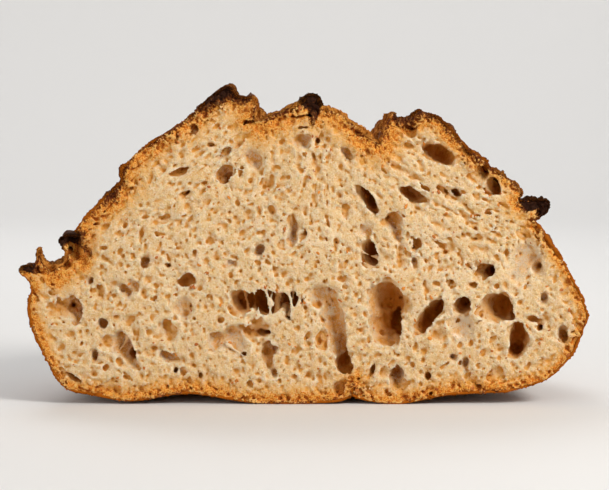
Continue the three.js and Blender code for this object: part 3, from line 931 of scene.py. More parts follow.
near_skin = eased(7.0, 2.0, below_skin)[:, :, None].astype(np.float32)
off_the_side = np.maximum(eased(4, 2, y_axis), eased(3, 5, below_skin)[:, :, None])
seen = np.minimum(eased(SLAB - 1, SLAB - 3, y_axis), off_the_side)
rough = ROUGH * noise_block(axes, 1.6, 81) + (FINE_ROUGH + DRY_ROUGH * near_skin) * noise_block(axes, 1.0, 82)
bread += (rough * seen).astype(np.float32)
print(f"roughness: up to {np.abs(rough * seen).max():.2f} mm")

# %% [markdown]
# ### Draw the surface
# Every cube whose corners are partly inside the bread gets one point, at the mean of the places where
# its edges cross the surface, and each crossed edge joins the four cubes round it with a quad. That
# keeps the knife's flat face flat and the rims of the cells crisp. Bits that float free are dropped,
# and the dense mesh is thinned, which costs little on the flat places.

# %% Points and quads of the surface
def surface_of(field):
    """Quads through the zero of a block; the block is positive inside."""
    inside = field > 0
    corners = list(np.ndindex(2, 2, 2))
    view = [inside[tuple(slice(c, n - 1 + c) for c, n in zip(corner, inside.shape))] for corner in corners]
    total = sum(v.astype(np.int8) for v in view)
    cubes = np.stack(np.nonzero((total > 0) & (total < 8)), axis=1)
    value = {corner: field[tuple((cubes + corner).T)] for corner in corners}
    place, count = np.zeros((len(cubes), 3)), np.zeros(len(cubes))
    for corner in corners:
        for k in range(3):
            if corner[k]:
                continue
            other = tuple(c + (i == k) for i, c in enumerate(corner))
            a, b = value[corner], value[other]
            crossed = (a > 0) != (b > 0)
            at = np.where(crossed, a / np.where(crossed, a - b, 1), 0)
            step = np.array(corner, float) + np.eye(3)[k] * at[:, None]
            place += step * crossed[:, None]
            count += crossed
    place = cubes + place / count[:, None]
    number = np.full(np.array(inside.shape) - 1, -1, np.int32)
    number[tuple(cubes.T)] = np.arange(len(cubes))
    quads = []
    for k in range(3):
        u, v = (k + 1) % 3, (k + 2) % 3
        near = [slice(None)] * 3
        far = [slice(None)] * 3
        near[k], far[k] = slice(None, -1), slice(1, None)
        crossed = inside[tuple(near)] != inside[tuple(far)]
        at = np.stack(np.nonzero(crossed), axis=1)
        at = at[(at[:, u] > 0) & (at[:, v] > 0)]
        leaving = inside[tuple(at.T)]
        loop = []
        for du, dv in ((0, 0), (1, 0), (1, 1), (0, 1)):
            cell = at.copy()
            cell[:, u] -= du
            cell[:, v] -= dv
            loop.append(number[tuple(cell.T)])
        loop = np.stack(loop, axis=1)
        loop[~leaving] = loop[~leaving][:, ::-1]
        quads.append(loop)
    return place, np.vstack(quads)


# %% Keep one body and thin it
CRUMB_TRIANGLES = 196_000


def largest_part(points, quads):
    """Keeps the one connected body and drops loose scraps, by spreading the lowest number along edges."""
    label = np.arange(len(points))
    pairs = np.concatenate([quads[:, [0, 1]], quads[:, [1, 2]], quads[:, [2, 3]], quads[:, [3, 0]]])
    while True:
        least = np.minimum(label[pairs[:, 0]], label[pairs[:, 1]])
        before = label.copy()
        np.minimum.at(label, pairs[:, 0], least)
        np.minimum.at(label, pairs[:, 1], least)
        label = label[label]
        if (label == before).all():
            break
    main = np.bincount(label).argmax()
    kept = label == main
    renumber = np.cumsum(kept) - 1
    return points[kept], renumber[quads[kept[quads[:, 0]]]]


def thin_out(piece, most):
    """Collapses edges where they matter least, until few enough triangles are left."""
    modifier = piece.modifiers.new("thin", "DECIMATE")
    modifier.ratio = min(1, most / triangles_of(piece))
    dense = piece.data
    piece.data = bpy.data.meshes.new_from_object(piece.evaluated_get(bpy.context.evaluated_depsgraph_get()))
    piece.modifiers.remove(modifier)
    bpy.data.meshes.remove(dense)
    piece.data.name = piece.name


# %% The crumb's mesh
place, quads = largest_part(*surface_of(bread))
spot = np.stack([axes[k][0] + place[:, k] * CUBE for k in range(3)], axis=1)
points = np.stack([spot[:, 0], CUT_Y + spot[:, 2], spot[:, 1]], axis=1)
crumb = mesh_piece("crumb", points, quads[:, ::-1])
print(f"crumb: {len(quads)} quads drawn")
thin_out(crumb, CRUMB_TRIANGLES)
crumb.data.shade_smooth()
print(f"crumb: {triangles_of(crumb)} triangles kept")

# %% [markdown]
# ### What the surface knows about itself
# The colour of bread, with the shade and highlights painted into it, follows from where a spot is: how
# far below the skin, how far behind the cut, on the shiny wall of a large cell or not, how dark the
# nearest edge baked, and how much bread is close round it, once within half a millimetre and once within
# one and a half. Thin rims have little, hollows have much. These six numbers are kept on each point,
# with a seventh that says where loose bits lie.

# %% Read places, normals and the block

def places_of(piece):
    flat = np.empty(len(piece.data.vertices) * 3, np.float32)
    piece.data.vertices.foreach_get("co", flat)
    return flat.reshape(-1, 3).astype(float) / MM


def normals_of(piece):
    flat = np.empty(len(piece.data.vertices) * 3, np.float32)
    piece.data.vertex_normals.foreach_get("vector", flat)
    return flat.reshape(-1, 3)


def local_share(reach_mm):
    """How much of the space within a short reach is bread: low on thin walls, high in hollows."""
    share = np.clip(bread / CUBE + 0.5, 0, 1).astype(np.float32)
    for axis in (0, 1, 2):
        for _ in range(2):
            wide = max(1, int(round(reach_mm / CUBE)))
            total = np.cumsum(np.concatenate([np.repeat(np.take(share, [0], axis), wide + 1, axis), share,
                                              np.repeat(np.take(share, [-1], axis), wide, axis)], axis), axis)
            size, span = share.shape[axis], 2 * wide + 1
            after, before = (np.take(total, np.arange(size) + start, axis) for start in (span, 0))
            share = (after - before) / span
    return share


def read_block(block, places):
    """The value of a block at places between its cubes."""
    steps = [np.clip((v - axis[0]) / CUBE, 0, len(axis) - 1.001) for v, axis in zip(places, axes)]
    whole = [s.astype(int) for s in steps]
    total = np.zeros(len(places[0]))
    for corner in np.ndindex(2, 2, 2):
        weight = np.prod([np.abs(s - w - 1 + c) for s, w, c in zip(steps, whole, corner)], axis=0)
        total += weight * block[tuple(w + c for w, c in zip(whole, corner))]
    return total


# %% Marks on the crumb
WALL_THICK, WALL_FROM = 1.3, 1.7  # how thick a large cell's set skin is; half width from which it has one
CAVE_GLOSS = 0.3  # how much of that skin a deep cell shows
USUAL_BROWN = 4  # the materials are tuned for an edge that browned this deep
POCKET_BROWN = (2.4, 5)  # a pocket's wall looks this far below the skin, and how fast that ends outside
NARROW, BROAD = 0.5, 1.5  # the two reaches in which bread is counted
BITS_BELOW, BITS_FACING, BITS_ABOVE = 0.46, 0.2, 1.5  # share of bread, turn away from the front, height


def crumb_marks():
    """The marks of every point of the crumb, by name."""
    x, y, z = places_of(crumb).T
    behind = y - CUT_Y
    below, nearest = nearest_edge(x, z)
    below = below / (round_mean(browned, 10)[nearest] / USUAL_BROWN)
    at = [read_block(w, (x, z, behind)) for w in warped]
    depth, steep = POCKET_BROWN
    for pocket in pocket_shapes():
        below = np.minimum(below, depth + steep * np.maximum(0, cell_share(at, *pocket) - 1))
    wall = np.zeros(len(x))
    for centre, half, lean, slant in large_cells():
        if min(half[:2]) > WALL_FROM:
            out = np.abs(cell_share(at, centre, half, lean, slant) - 1) * min(half)
            wall = np.maximum(wall, (1 - out / WALL_THICK) * (1 if is_bowl(centre) else CAVE_GLOSS))
    hollow, dip = (read_block(local_share(size), (x, z, behind)) for size in (NARROW, BROAD))
    bits = (hollow < BITS_BELOW) * (normals_of(crumb)[:, 1] < BITS_FACING) * (z > BITS_ABOVE)
    return {"below": below, "pit": behind, "wall": np.clip(wall, 0, 1), "char": char[nearest],
            "hollow": hollow, "dip": dip, "scatter": bits}


mark(crumb, **crumb_marks())
print("marks:", [a.name for a in crumb.data.attributes if a.data_type == "FLOAT"])

# %% [markdown]
# ## Finishes
# Two shader groups are shared. `mottle` is the patchy unevenness of anything baked: broad clouds with
# fine grain on top. `pitting` is the field of tiny open pores, finer than the mesh can carry. Both give
# numbers only, and each material decides what they mean.

# %% Helpers for shader nodes
def place_node(tree, kind, inputs=None, **settings):
    """Adds a node, sets its options, and sets or links each input given by name or number."""
    node = tree.nodes.new(kind)
    for name, value in settings.items():
        setattr(node, name, value)
    for name, value in (inputs or {}).items():
        socket = node.inputs[name]
        if isinstance(value, bpy.types.NodeSocket):
            tree.links.new(value, socket)
        else:
            socket.default_value = value
    return node


def calculate(tree, operation, *values, clamp=False):
    """One step of arithmetic on numbers and sockets."""
    node = place_node(tree, "ShaderNodeMath", dict(enumerate(values)), operation=operation, use_clamp=clamp)
    return node.outputs[0]


def added(tree, first, *others):
    for other in others:
        first = calculate(tree, "ADD", first, other)
    return first


def multiplied(tree, first, *others):
    for other in others:
        first = calculate(tree, "MULTIPLY", first, other)
    return first


def opposite(tree, value):
    return calculate(tree, "SUBTRACT", 1.0, value)


def swing(tree, value, width):
    """A value round a half as one round nought, `width` times as wide."""
    return multiplied(tree, calculate(tree, "SUBTRACT", value, 0.5), width)


# %% Helpers for colours and textures
def mixed(tree, share, first, second):
    """The second colour laid over the first; `share` is how much of it shows."""
    node = place_node(tree, "ShaderNodeMix", data_type="RGBA")
    for index, value in ((0, share), (6, first), (7, second)):
        if isinstance(value, bpy.types.NodeSocket):
            tree.links.new(value, node.inputs[index])
        else:
            node.inputs[index].default_value = value
    return node.outputs[2]


def ranged(tree, value, low_in, high_in, low_out=0.0, high_out=1.0):
    """A soft step from the low output to the high one while the value goes from low to high."""
    names = ("Value", "From Min", "From Max", "To Min", "To Max")
    inputs = dict(zip(names, (value, low_in, high_in, low_out, high_out)))
    return place_node(tree, "ShaderNodeMapRange", inputs, interpolation_type="SMOOTHSTEP").outputs[0]


def painted(tree, colour, layers):
    """Lays colours over a first one, each by a value, where that starts and is full, and its most share."""
    for value, start, full, most, paint in layers:
        colour = mixed(tree, ranged(tree, value, start, full, 0.0, most), colour, paint)
    return colour


def marks_of(tree, *names):
    """The numbers that the mesh keeps, as sockets under their own names."""
    nodes = {name: place_node(tree, "ShaderNodeAttribute", attribute_name=name) for name in names}
    return SimpleNamespace(**{name: node.outputs["Fac"] for name, node in nodes.items()})


def noise_of(tree, place, size, detail, output=0):
    """Noise with lumps of `size` millimetres."""
    inputs = {"Vector": place, "Scale": 1 / (size * MM), "Detail": detail}
    return place_node(tree, "ShaderNodeTexNoise", inputs).outputs[output]


def shade(red, green, blue):
    """A colour as it is seen on a screen, 0 to 255, as the linear light that a shader wants."""
    part = [c / 255 for c in (red, green, blue)]
    return (*(c / 12.92 if c <= 0.04045 else ((c + 0.055) / 1.055) ** 2.4 for c in part), 1)


def shader_group(name, inputs, outputs):
    """An empty group with float inputs {name: default} and float outputs."""
    group = bpy.data.node_groups.new(name, "ShaderNodeTree")
    group.interface.new_socket("Place", in_out="INPUT", socket_type="NodeSocketVector")
    for label, default in inputs.items():
        socket = group.interface.new_socket(label, in_out="INPUT", socket_type="NodeSocketFloat")
        socket.default_value = default
    for label in outputs:
        group.interface.new_socket(label, in_out="OUTPUT", socket_type="NodeSocketFloat")
    return group, group.nodes.new("NodeGroupInput").outputs, group.nodes.new("NodeGroupOutput").inputs


# %% The shared groups
def make_mottle():
    group, given, result = shader_group("mottle", {"Size": 0.01, "Grain": 0.35}, ["Clouds", "Fine"])
    scale = calculate(group, "DIVIDE", 1.0, given["Size"])
    inputs = {"Vector": given["Place"], "Scale": scale, "Detail": 3.0}
    clouds = place_node(group, "ShaderNodeTexNoise", inputs).outputs[0]
    inputs = {"Vector": given["Place"], "Scale": multiplied(group, scale, 9.0), "Detail": 2.0}
    fine = place_node(group, "ShaderNodeTexNoise", inputs).outputs[0]
    clouded = added(group, clouds, swing(group, fine, given["Grain"]))
    group.links.new(ranged(group, clouded, 0.32, 0.68), result["Clouds"])
    group.links.new(fine, result["Fine"])
    return group


def make_pitting():
    group, given, result = shader_group("pitting", {"Size": 0.001, "Share": 0.4}, ["Pits", "Height"])
    scale = calculate(group, "DIVIDE", 1.0, given["Size"])
    inputs = {"Vector": given["Place"], "Scale": scale}
    cells = place_node(group, "ShaderNodeTexVoronoi", inputs, feature="F1")
    choice = place_node(group, "ShaderNodeSeparateColor", {"Color": cells.outputs["Color"]}).outputs[0]
    radius = multiplied(group, given["Share"], ranged(group, choice, 0.3, 0.9))
    pits = ranged(group, calculate(group, "SUBTRACT", radius, cells.outputs["Distance"]), 0.0, 0.16)
    group.links.new(pits, result["Pits"])
    group.links.new(opposite(group, pits), result["Height"])
    return group


mottle_group, pitting_group = make_mottle(), make_pitting()


# %% Put the groups and the settings in a material
def mottle(tree, place, size, grain=0.35):
    """Clouds of `size` millimetres, and the fine noise in them."""
    node = place_node(tree, "ShaderNodeGroup", node_tree=mottle_group)
    tree.links.new(place, node.inputs["Place"])
    node.inputs["Size"].default_value, node.inputs["Grain"].default_value = size * MM, grain
    return node.outputs["Clouds"], node.outputs["Fine"]


def pitting(tree, place, size, share):
    """Pores `size` millimetres apart, as a mask and as a height."""
    node = place_node(tree, "ShaderNodeGroup", node_tree=pitting_group)
    tree.links.new(place, node.inputs["Place"])
    node.inputs["Size"].default_value, node.inputs["Share"].default_value = size * MM, share
    return node.outputs["Pits"], node.outputs["Height"]


def new_finish(name):
    """A material with its tree, its surface shader and the object's own coordinates."""
    material = bpy.data.materials.new(name)
    material.use_nodes = True
    tree = material.node_tree
    place = tree.nodes.new("ShaderNodeTexCoord").outputs["Object"]
    return material, tree, tree.nodes["Principled BSDF"], place


def set_same_all_over(surface, values):
    for name, value in values.items():
        surface.inputs[name].default_value = value


def set_bump(tree, surface, lift, strength, distance):
    inputs = {"Height": lift, "Strength": strength, "Distance": distance * MM}
    tree.links.new(place_node(tree, "ShaderNodeBump", inputs).outputs[0], surface.inputs["Normal"])


print("shader groups:", [g.name for g in bpy.data.node_groups])

# %% [markdown]
# ### The crumb's finish
# Fresh crumb is cream, not yellow, and a little translucent. Light that bounces about in a cell comes
# back warmer each time, so deep cells look brown; that brown is painted shade in the colour of pores,
# dips and cells, and thin rims and grains get a painted highlight. Large cells have a smooth skin of set
# starch with a grey sheen, a coat plus a painted sheen in the colour. Towards the skin everything turns
# amber, then brown, within a few millimetres. Each step is a layer of paint over the last one, and the
# marks say where it goes.

# %% Colours of the crumb
CREAM, CREAM_WARM, CREAM_PALE_AND_HIGHLIGHT = shade(232, 204, 160), shade(222, 184, 127), shade(240, 226, 200)
TAN_SHADE, CELL_SHADE, STARCH_SHEEN = shade(208, 142, 58), shade(164, 88, 6), shade(206, 188, 162)
AMBER, GOLD, GOLD_PALE = shade(224, 160, 68), shade(202, 104, 10), shade(232, 168, 76)
BAKED_AND_PORE_SHADE, BURNT, SOOT = shade(150, 62, 6), shade(92, 36, 8), shade(36, 17, 9)
GOLD_HIGHLIGHT = shade(244, 204, 130)


def open_crumb(tree, place, marks, clouds, grain):
    """The colour of cream crumb, with pale rims and grains as painted highlight and tan pores and brown cells
    as painted shade, and the height of its fine relief.
    """
    small_clouds, _ = mottle(tree, place, 2.2)
    pits, height = pitting(tree, place, 1.0, 0.5)
    larger, larger_height = pitting(tree, place, 2.1, 0.45)
    broad, _ = mottle(tree, place, 26)
    warm = added(tree, multiplied(tree, broad, 0.6), ranged(tree, marks.below, 40.0, 12.0, 0.0, 0.7))
    colour = mixed(tree, clouds, CREAM, CREAM_WARM)
    colour = mixed(tree, warm, colour, CREAM_WARM)
    colour = mixed(tree, multiplied(tree, small_clouds, 0.35), colour, CREAM_PALE_AND_HIGHLIGHT)
    # pale on the high points of the fine grain, tan on its low ones: painted highlight and painted shade
    colour = painted(tree, colour, [(grain, 0.56, 0.72, 0.6, CREAM_PALE_AND_HIGHLIGHT), (grain, 0.46, 0.3, 0.5, TAN_SHADE)])
    # tan in the fine pores of the pitting: painted shade
    colour = mixed(tree, multiplied(tree, larger, 0.16), colour, TAN_SHADE)
    colour = mixed(tree, multiplied(tree, pits, 0.22), colour, TAN_SHADE)
    colour = painted(tree, colour, [
        (marks.hollow, 0.49, 0.3, 0.7, CREAM_PALE_AND_HIGHLIGHT),  # thin rims: painted highlight
        (marks.dip, 0.5, 0.66, 0.75, TAN_SHADE),  # broad dips: painted shade
        (marks.hollow, 0.52, 0.66, 0.9, TAN_SHADE),  # pores: painted shade
        # deep pores: painted shade
        (marks.hollow, 0.64, 0.84, 0.75, CELL_SHADE),
        (marks.pit, 1.1, 4.4, 0.78, TAN_SHADE),  # the walls of the cells, browner deeper behind the cut: painted shade
        # deepest in the cells: painted shade
        (marks.pit, 3.0, 11.0, 0.95, CELL_SHADE),
    ])
    lift = added(tree, multiplied(tree, grain, 1.1), multiplied(tree, height, 0.6),
                 multiplied(tree, larger_height, 0.5))
    return colour, lift


def starch_skin(tree, place, marks):
    """How much set starch shines, as a real coat and as a grey sheen painted into the colour: in streaks on
    the walls of large cells, neither at the mouth nor deep.
    """
    streaks, _ = mottle(tree, place, 3.2, 1.1)
    return multiplied(tree, marks.wall, ranged(tree, streaks, 0.35, 0.85),
                      ranged(tree, marks.pit, 11.0, 4.0), ranged(tree, marks.pit, 0.7, 1.8))


def browned_band(tree, colour, marks, clouds, fine, grain):
    """Amber, gold and brown laid over the crumb near the skin, with painted shade in its pores and a painted
    highlight on its thin ridges, and soot where the edge burnt.
    """
    wander = added(tree, swing(tree, fine, 4.5), swing(tree, clouds, 2.0), swing(tree, grain, 3.0))
    deep = added(tree, marks.below, wander)
    golden = mixed(tree, ranged(tree, grain, 0.36, 0.62), GOLD, GOLD_PALE)
    # dark pores and pale thin ridges in the gold band: painted shade and painted highlight
    golden = painted(tree, golden, [(marks.hollow, 0.5, 0.66, 0.85, BAKED_AND_PORE_SHADE),
                                    (marks.hollow, 0.46, 0.34, 0.45, GOLD_HIGHLIGHT)])
    colour = painted(tree, colour, [(deep, 11.0, 4.0, 0.75, AMBER), (deep, 6.2, 3.4, 0.95, golden),
                                    (deep, 1.9, 0.0, 0.75, BAKED_AND_PORE_SHADE)])
    scorch = multiplied(tree, calculate(tree, "POWER", marks.char, 3.0), 4.8)
    scorch = calculate(tree, "SUBTRACT", scorch, deep)
    return painted(tree, colour, [(scorch, -1.2, 0.9, 0.9, BURNT), (scorch, 0.8, 3.0, 0.9, SOOT)])


# %% Crumb material
def crumb_finish():
    material, tree, surface, place = new_finish("crumb")
    marks = marks_of(tree, "below", "pit", "wall", "char", "hollow", "dip")
    clouds, fine = mottle(tree, place, 9)
    grain = noise_of(tree, place, 0.6, 2.0)
    colour, lift = open_crumb(tree, place, marks, clouds, grain)
    gloss_and_sheen = starch_skin(tree, place, marks)
    # the grey sheen of the starch laid into the colour: painted sheen; the coat below gives the real gloss
    colour = mixed(tree, multiplied(tree, gloss_and_sheen, 0.75), colour, STARCH_SHEEN)
    colour = browned_band(tree, colour, marks, clouds, fine, grain)
    tree.links.new(colour, surface.inputs["Base Color"])
    tree.links.new(multiplied(tree, gloss_and_sheen, 0.8), surface.inputs["Coat Weight"])
    set_bump(tree, surface, lift, 0.75, 0.45)
    set_same_all_over(surface, {
        "Coat Roughness": 0.24, "Roughness": 0.7, "Specular IOR Level": 0.1, "Subsurface Weight": 0.3,
        "Subsurface Radius": (1.0, 0.55, 0.25), "Subsurface Scale": 1.3 * MM})
    print(f"crumb: {len(tree.nodes)} shader nodes")
    return material


crumb.data.materials.append(crumb_finish())

# %% [markdown]
# ### The crust's finish
# The skin runs from gold in the torn scores, over chestnut on the sides, to almost black on the lips
# that stood up in the heat. Flour from the proving basket stays on the smooth skin as a grey bloom, and
# wears off the blisters, which shine a little.

# %% Colours and cracks of the crust
CHESTNUT, HONEY, TOASTED = shade(106, 54, 20), shade(158, 98, 42), shade(168, 88, 16)
TORN_GOLD, TORN_BROWN = shade(210, 142, 66), shade(138, 72, 20)
UMBER_AND_PORE_SHADE, CHARRED, FLOUR = shade(76, 36, 9), shade(33, 16, 8), shade(226, 210, 178)
CRACK_SHADE = shade(64, 30, 8)


def crackled(tree, place, clouds, opened):
    """Fine cracks where the cooling skin shrank: bent cell edges, in patches, never in a torn score."""
    bend = noise_of(tree, place, 4, 2.0, "Color")
    steps = {"SUBTRACT": {1: (0.5, 0.5, 0.5)}, "SCALE": {"Scale": 7 * MM}, "ADD": {1: place}}
    for operation, inputs in steps.items():
        bend = place_node(tree, "ShaderNodeVectorMath", {0: bend, **inputs}, operation=operation).outputs[0]
    inputs = {"Vector": bend, "Scale": 1 / (8 * MM)}
    cells = place_node(tree, "ShaderNodeTexVoronoi", inputs, feature="DISTANCE_TO_EDGE")
    lines = ranged(tree, cells.outputs["Distance"], 0.035, 0.005)
    kept = multiplied(tree, ranged(tree, clouds, 0.55, 0.95), opposite(tree, opened))
    return multiplied(tree, lines, kept)


# %% Crust material
def crust_colour(tree, marks, clouds, patches, specks):
    """Chestnut skin, browner on blisters and golden at the rim, with torn scores and burnt lips."""
    tone = added(tree, multiplied(tree, clouds, 0.5), ranged(tree, marks.raised, 0.2, 1.6, 0.0, 0.55))
    colour = mixed(tree, tone, HONEY, CHESTNUT)
    colour = mixed(tree, multiplied(tree, patches, 0.35), colour, UMBER_AND_PORE_SHADE)
    colour = mixed(tree, multiplied(tree, marks.rim, 0.8), colour, TOASTED)
    colour = mixed(tree, marks.torn, colour, mixed(tree, patches, TORN_GOLD, TORN_BROWN))
    ragged = added(tree, marks.char, swing(tree, specks, 1.4))
    return painted(tree, colour, [(ragged, 0.28, 0.85, 0.85, UMBER_AND_PORE_SHADE), (ragged, 0.6, 1.1, 1.0, CHARRED)])


def crust_finish():
    material, tree, surface, place = new_finish("crust")
    marks = marks_of(tree, "torn", "char", "flour", "raised", "rim")
    clouds, _ = mottle(tree, place, 22, 0.6)
    patches, specks = mottle(tree, place, 4)
    pits, height = pitting(tree, place, 1.3, 0.42)
    crackle = crackled(tree, place, clouds, marks.torn)
    dusty = multiplied(tree, marks.flour, ranged(tree, specks, 0.42, 0.62, 0.08, 0.72),
                       ranged(tree, marks.raised, 1.2, 0.2, 0.55, 1.0))
    colour = crust_colour(tree, marks, clouds, patches, specks)
    # the fine cracks darkened: painted shade; their dip is in the bump
    colour = mixed(tree, multiplied(tree, crackle, 0.45), colour, CRACK_SHADE)
    colour = mixed(tree, dusty, colour, FLOUR)
    # darker in the fine pores: painted shade
    colour = mixed(tree, multiplied(tree, pits, 0.4), colour, UMBER_AND_PORE_SHADE)
    tree.links.new(colour, surface.inputs["Base Color"])
    rough = added(tree, ranged(tree, patches, 0.0, 1.0, 0.55, 0.75), multiplied(tree, dusty, 0.25))
    rough = calculate(tree, "ADD", rough, multiplied(tree, marks.char, 0.3), clamp=True)
    tree.links.new(rough, surface.inputs["Roughness"])
    lift = added(tree, multiplied(tree, noise_of(tree, place, 0.7, 4.0), 0.8), multiplied(tree, height, 0.7))
    lift = calculate(tree, "SUBTRACT", lift, multiplied(tree, crackle, 0.8))
    set_bump(tree, surface, lift, 0.65, 0.5)
    sheen = multiplied(tree, ranged(tree, marks.raised, 0.0, 1.0, 0.03, 0.22),
                       ranged(tree, dusty, 0.4, 0.0), opposite(tree, marks.rim))
    tree.links.new(sheen, surface.inputs["Coat Weight"])
    set_same_all_over(surface, {"Coat Roughness": 0.38, "Specular IOR Level": 0.0})
    print(f"crust: {len(tree.nodes)} shader nodes")
    return material


crust.data.materials.append(crust_finish())

# %% [markdown]
# ## Bran, crumb bits and crust flakes
# Flecks of bran show as small orange-brown chips in the crumb. Its thin rims carry pale, ragged grains
# that the knife tore loose, and the burnt edges shed crisp scales. All three are small flat bits by the
# hundred or the thousand, so one tree of Geometry Nodes scatters them: points on a mesh where its mark
# `scatter` asks for them, a bit on each, turned and sized at random. The grains and scales keep the
# marks of the place they lie on, and so its colours.

# %% The tree that scatters bits
BIT_TILT = (0.9, 0.9, 6.28)  # the most that a bit turns about each of its axes, in radians
BIT_SIZES = (0.45, 1.35)  # least and most, times the radius


def geometry_socket(group, label, kind, default=None, in_out="INPUT"):
    socket = group.interface.new_socket(label, in_out=in_out, socket_type=kind)
    if default is not None:
        socket.default_value = default
    return socket


def scatter_tree():
    """Small bits on a surface, as many as its mark `scatter` asks for; they keep the marks of their place."""
    tree = bpy.data.node_groups.new("scatter bits", "GeometryNodeTree")
    geometry_socket(tree, "Surface", "NodeSocketGeometry")
    geometry_socket(tree, "Per square metre", "NodeSocketFloat", 30000.0)
    geometry_socket(tree, "Bit radius", "NodeSocketFloat", 0.0004)
    geometry_socket(tree, "Bit shape", "NodeSocketVector", (1.0, 0.62, 0.3))
    geometry_socket(tree, "Seed", "NodeSocketInt", 5)
    geometry_socket(tree, "Finish", "NodeSocketMaterial")
    geometry_socket(tree, "Bits", "NodeSocketGeometry", in_out="OUTPUT")
    given = tree.nodes.new("NodeGroupInput").outputs
    result = tree.nodes.new("NodeGroupOutput").inputs
    share = place_node(tree, "GeometryNodeInputNamedAttribute", {"Name": "scatter"}, data_type="FLOAT")
    density = multiplied(tree, share.outputs[0], given["Per square metre"])
    spots = place_node(tree, "GeometryNodeDistributePointsOnFaces",
                       {"Mesh": given["Surface"], "Density": density, "Seed": given["Seed"]},
                       distribute_method="RANDOM")
    ball = place_node(tree, "GeometryNodeMeshIcoSphere", {"Radius": given["Bit radius"], "Subdivisions": 1})
    shaped = place_node(tree, "GeometryNodeTransform",
                        {"Geometry": ball.outputs[0], "Scale": given["Bit shape"]})
    spin = place_node(tree, "FunctionNodeRandomValue", {"Seed": given["Seed"]}, data_type="FLOAT_VECTOR")
    spin.inputs[1].default_value = BIT_TILT
    turned = place_node(tree, "FunctionNodeRotateRotation",
                        {0: spots.outputs["Rotation"], 1: spin.outputs[0]}, rotation_space="LOCAL")
    sized = place_node(tree, "FunctionNodeRandomValue", data_type="FLOAT")
    sized.inputs[2].default_value, sized.inputs[3].default_value = BIT_SIZES
    bits = place_node(tree, "GeometryNodeInstanceOnPoints",
                      {"Points": spots.outputs["Points"], "Instance": shaped.outputs[0],
                       "Rotation": turned.outputs[0], "Scale": sized.outputs[1]})
    real = place_node(tree, "GeometryNodeRealizeInstances", {0: bits.outputs[0]})
    done = place_node(tree, "GeometryNodeSetMaterial",
                      {"Geometry": real.outputs[0], "Material": given["Finish"]})
    tree.links.new(done.outputs[0], result["Bits"])
    print(f"scatter bits: {len(tree.nodes)} geometry nodes")
    return tree


# %% Run the tree and keep a plain mesh
def grown_by(tree, name, start, **values):
    """Runs a node tree on a copy of a mesh, with its named inputs set, and keeps the result as a piece."""
    piece = bpy.data.objects.new(name, start.copy())
    bpy.context.scene.collection.objects.link(piece)
    modifier = piece.modifiers.new(name, "NODES")
    modifier.node_group = tree
    sockets = {item.name: item.identifier for item in tree.interface.items_tree if item.in_out == "INPUT"}
    for label, value in values.items():
        modifier[sockets[label.replace("_", " ")]] = value
    bpy.context.view_layer.update()
    made = bpy.data.meshes.new_from_object(piece.evaluated_get(bpy.context.evaluated_depsgraph_get()))
    piece.modifiers.remove(modifier)
    old, piece.data = piece.data, made
    bpy.data.meshes.remove(old)
    made.name = name
    return piece


# %% Scatter the three kinds
BRAN, BRAN_DARK = shade(222, 138, 40), shade(168, 88, 26)


def bran_finish():
    material, tree, surface, place = new_finish("bran")
    clouds, _ = mottle(tree, place, 7)
    tree.links.new(mixed(tree, clouds, BRAN, BRAN_DARK), surface.inputs["Base Color"])
    set_same_all_over(surface, {"Roughness": 0.7})
    return material


SCATTERED = [  # name, on what, how many a square metre, radius, shape, seed, finish
    ("bran", crumb, 22_000.0, 1.0, (1.0, 0.62, 0.3), 5, bran_finish()),
    ("crumb_bits", crumb, 600_000.0, 0.42, (1.0, 0.8, 0.55), 6, crumb.data.materials[0]),
    ("crust_flakes", crust, 1_200_000.0, 0.65, (1.0, 0.7, 0.35), 7, crust.data.materials[0]),
]
scatter = scatter_tree()
bits = [grown_by(scatter, name, below.data, Per_square_metre=many, Bit_radius=radius * MM, Bit_shape=shape,
                 Seed=seed, Finish=finish) for name, below, many, radius, shape, seed, finish in SCATTERED]
print("triangles:", {piece.name: triangles_of(piece) for piece in bits})

# %% [markdown]
# ## Camera, light and floor
# The photograph was taken from in front, at about the height of the loaf's top, with a long lens
# tilted slightly down. Soft light comes from the right and above, with a weaker fill from the left.

# %% Camera
CAMERA = {"place": (-0.0002, -0.756, 0.126), "down": 5.0, "lens": 103.45}  # metres, degrees, millimetres
camera = bpy.data.objects.new("camera", bpy.data.cameras.new("camera"))
camera.location = CAMERA["place"]
camera.rotation_euler = (math.radians(90 - CAMERA["down"]), 0, 0)
camera.data.lens = CAMERA["lens"]
bpy.context.scene.collection.objects.link(camera)
bpy.context.scene.camera = camera
print(f"camera: {-camera.location.y:.2f} m in front, {CAMERA['lens']} mm lens")

# %% Lights
LIGHTS = [  # name, place and width in metres, watts, colour
    ("key", (0.68, -0.54, 0.72), 0.34, 8.4, (1.0, 0.97, 0.92)),
    ("fill", (-0.8, -0.8, 0.35), 0.7, 2.7, (1.0, 0.98, 0.95)),
    ("top", (-0.25, 0.5, 0.95), 0.5, 2.6, (1.0, 1.0, 1.0)),
    ("backdrop", (0.0, 0.75, 1.2), 1.2, 5.9, (1.0, 1.0, 1.0)),
]
LOAF, WALL = Vector((0, -0.02, 0.05)), Vector((0, 1.6, 0.35))  # what the lights are turned to
ROOM_GREY, ROOM_LIGHT = 0.87, 0.41


def add_light(name, place, width, watts, colour):
    lamp = bpy.data.objects.new(name, bpy.data.lights.new(name, "AREA"))
    lamp.data.size, lamp.data.energy, lamp.data.color = width, watts, colour
    lamp.location = place
    aim = WALL if name == "backdrop" else LOAF
    lamp.rotation_euler = (aim - lamp.location).to_track_quat("-Z", "Y").to_euler()
    bpy.context.scene.collection.objects.link(lamp)


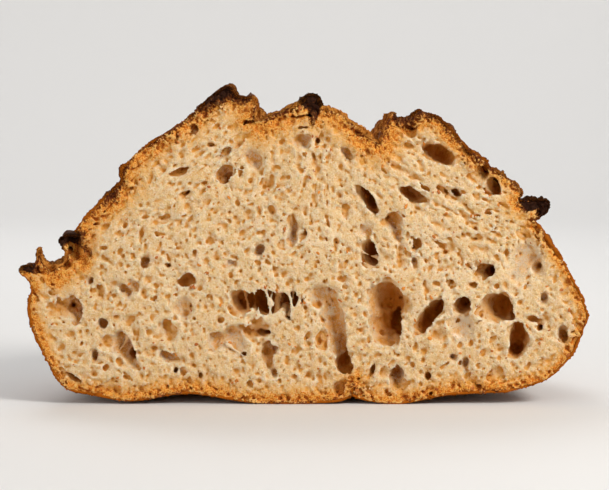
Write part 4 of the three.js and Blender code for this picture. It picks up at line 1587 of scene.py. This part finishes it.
for light in LIGHTS:
    add_light(*light)
world = bpy.data.worlds.new("room")
bpy.context.scene.world = world
world.use_nodes = True
background = world.node_tree.nodes["Background"].inputs
background[0].default_value, background[1].default_value = (ROOM_GREY,) * 3 + (1,), ROOM_LIGHT
bpy.context.scene.view_settings.view_transform = "Standard"
print("lights:", [name for name, *_ in LIGHTS])

# %% [markdown]
# The floor is a wide pale dish: flat under the loaf and curving up far away on every side, so that no
# edge shows from any direction.

# %% Floor
FLAT, RISE, TALL = 1.0, 0.6, 1.3  # metres: the flat part, the curve's radius, the top of the wall
TURNS, CURVE = 96, 16  # points round the dish and up its curve
PAPER = shade(226, 225, 224)


def dish():
    """The floor, as one closed sweep with its finish."""
    turn = np.linspace(0, math.pi / 2, CURVE)
    profile = [(0, 0), *zip(FLAT + RISE * np.sin(turn), RISE * (1 - np.cos(turn))), (FLAT + RISE, TALL)]
    around = np.linspace(0, 2 * math.pi, TURNS, endpoint=False)
    points = [np.zeros((1, 3))]
    for radius, level in profile[1:]:
        x, y = radius * np.cos(around), radius * np.sin(around)
        points.append(np.stack([x, y, np.full(TURNS, level)], axis=1))
    i = 1 + np.arange(TURNS)
    n = 1 + np.arange(1, TURNS + 1) % TURNS
    centre = np.stack([0 * i, i, n], axis=1)
    starts = TURNS * np.arange(len(profile) - 2)
    quads = [np.stack([k + i, k + TURNS + i, k + TURNS + n, k + n], axis=1) for k in starts]
    piece = mesh_piece("floor", np.vstack(points) / MM, centre, np.vstack(quads))
    piece.data.shade_smooth()
    material, tree, surface, _ = new_finish("floor")
    set_same_all_over(surface, {"Base Color": PAPER, "Roughness": 0.85})
    piece.data.materials.append(material)
    return piece


dish()
print(f"floor: {2 * (FLAT + RISE):.1f} m across")

# %% [markdown]
# ## Put it all on the frame
# Crust and crumb together stand for the solid loaf. The bran, the crumb bits and the crust flakes ride
# on the same body.

# %% Ride and replace
for piece in (crust, crumb, *bits):
    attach(piece, "root")
for piece in (crust, crumb):
    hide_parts("loaf")
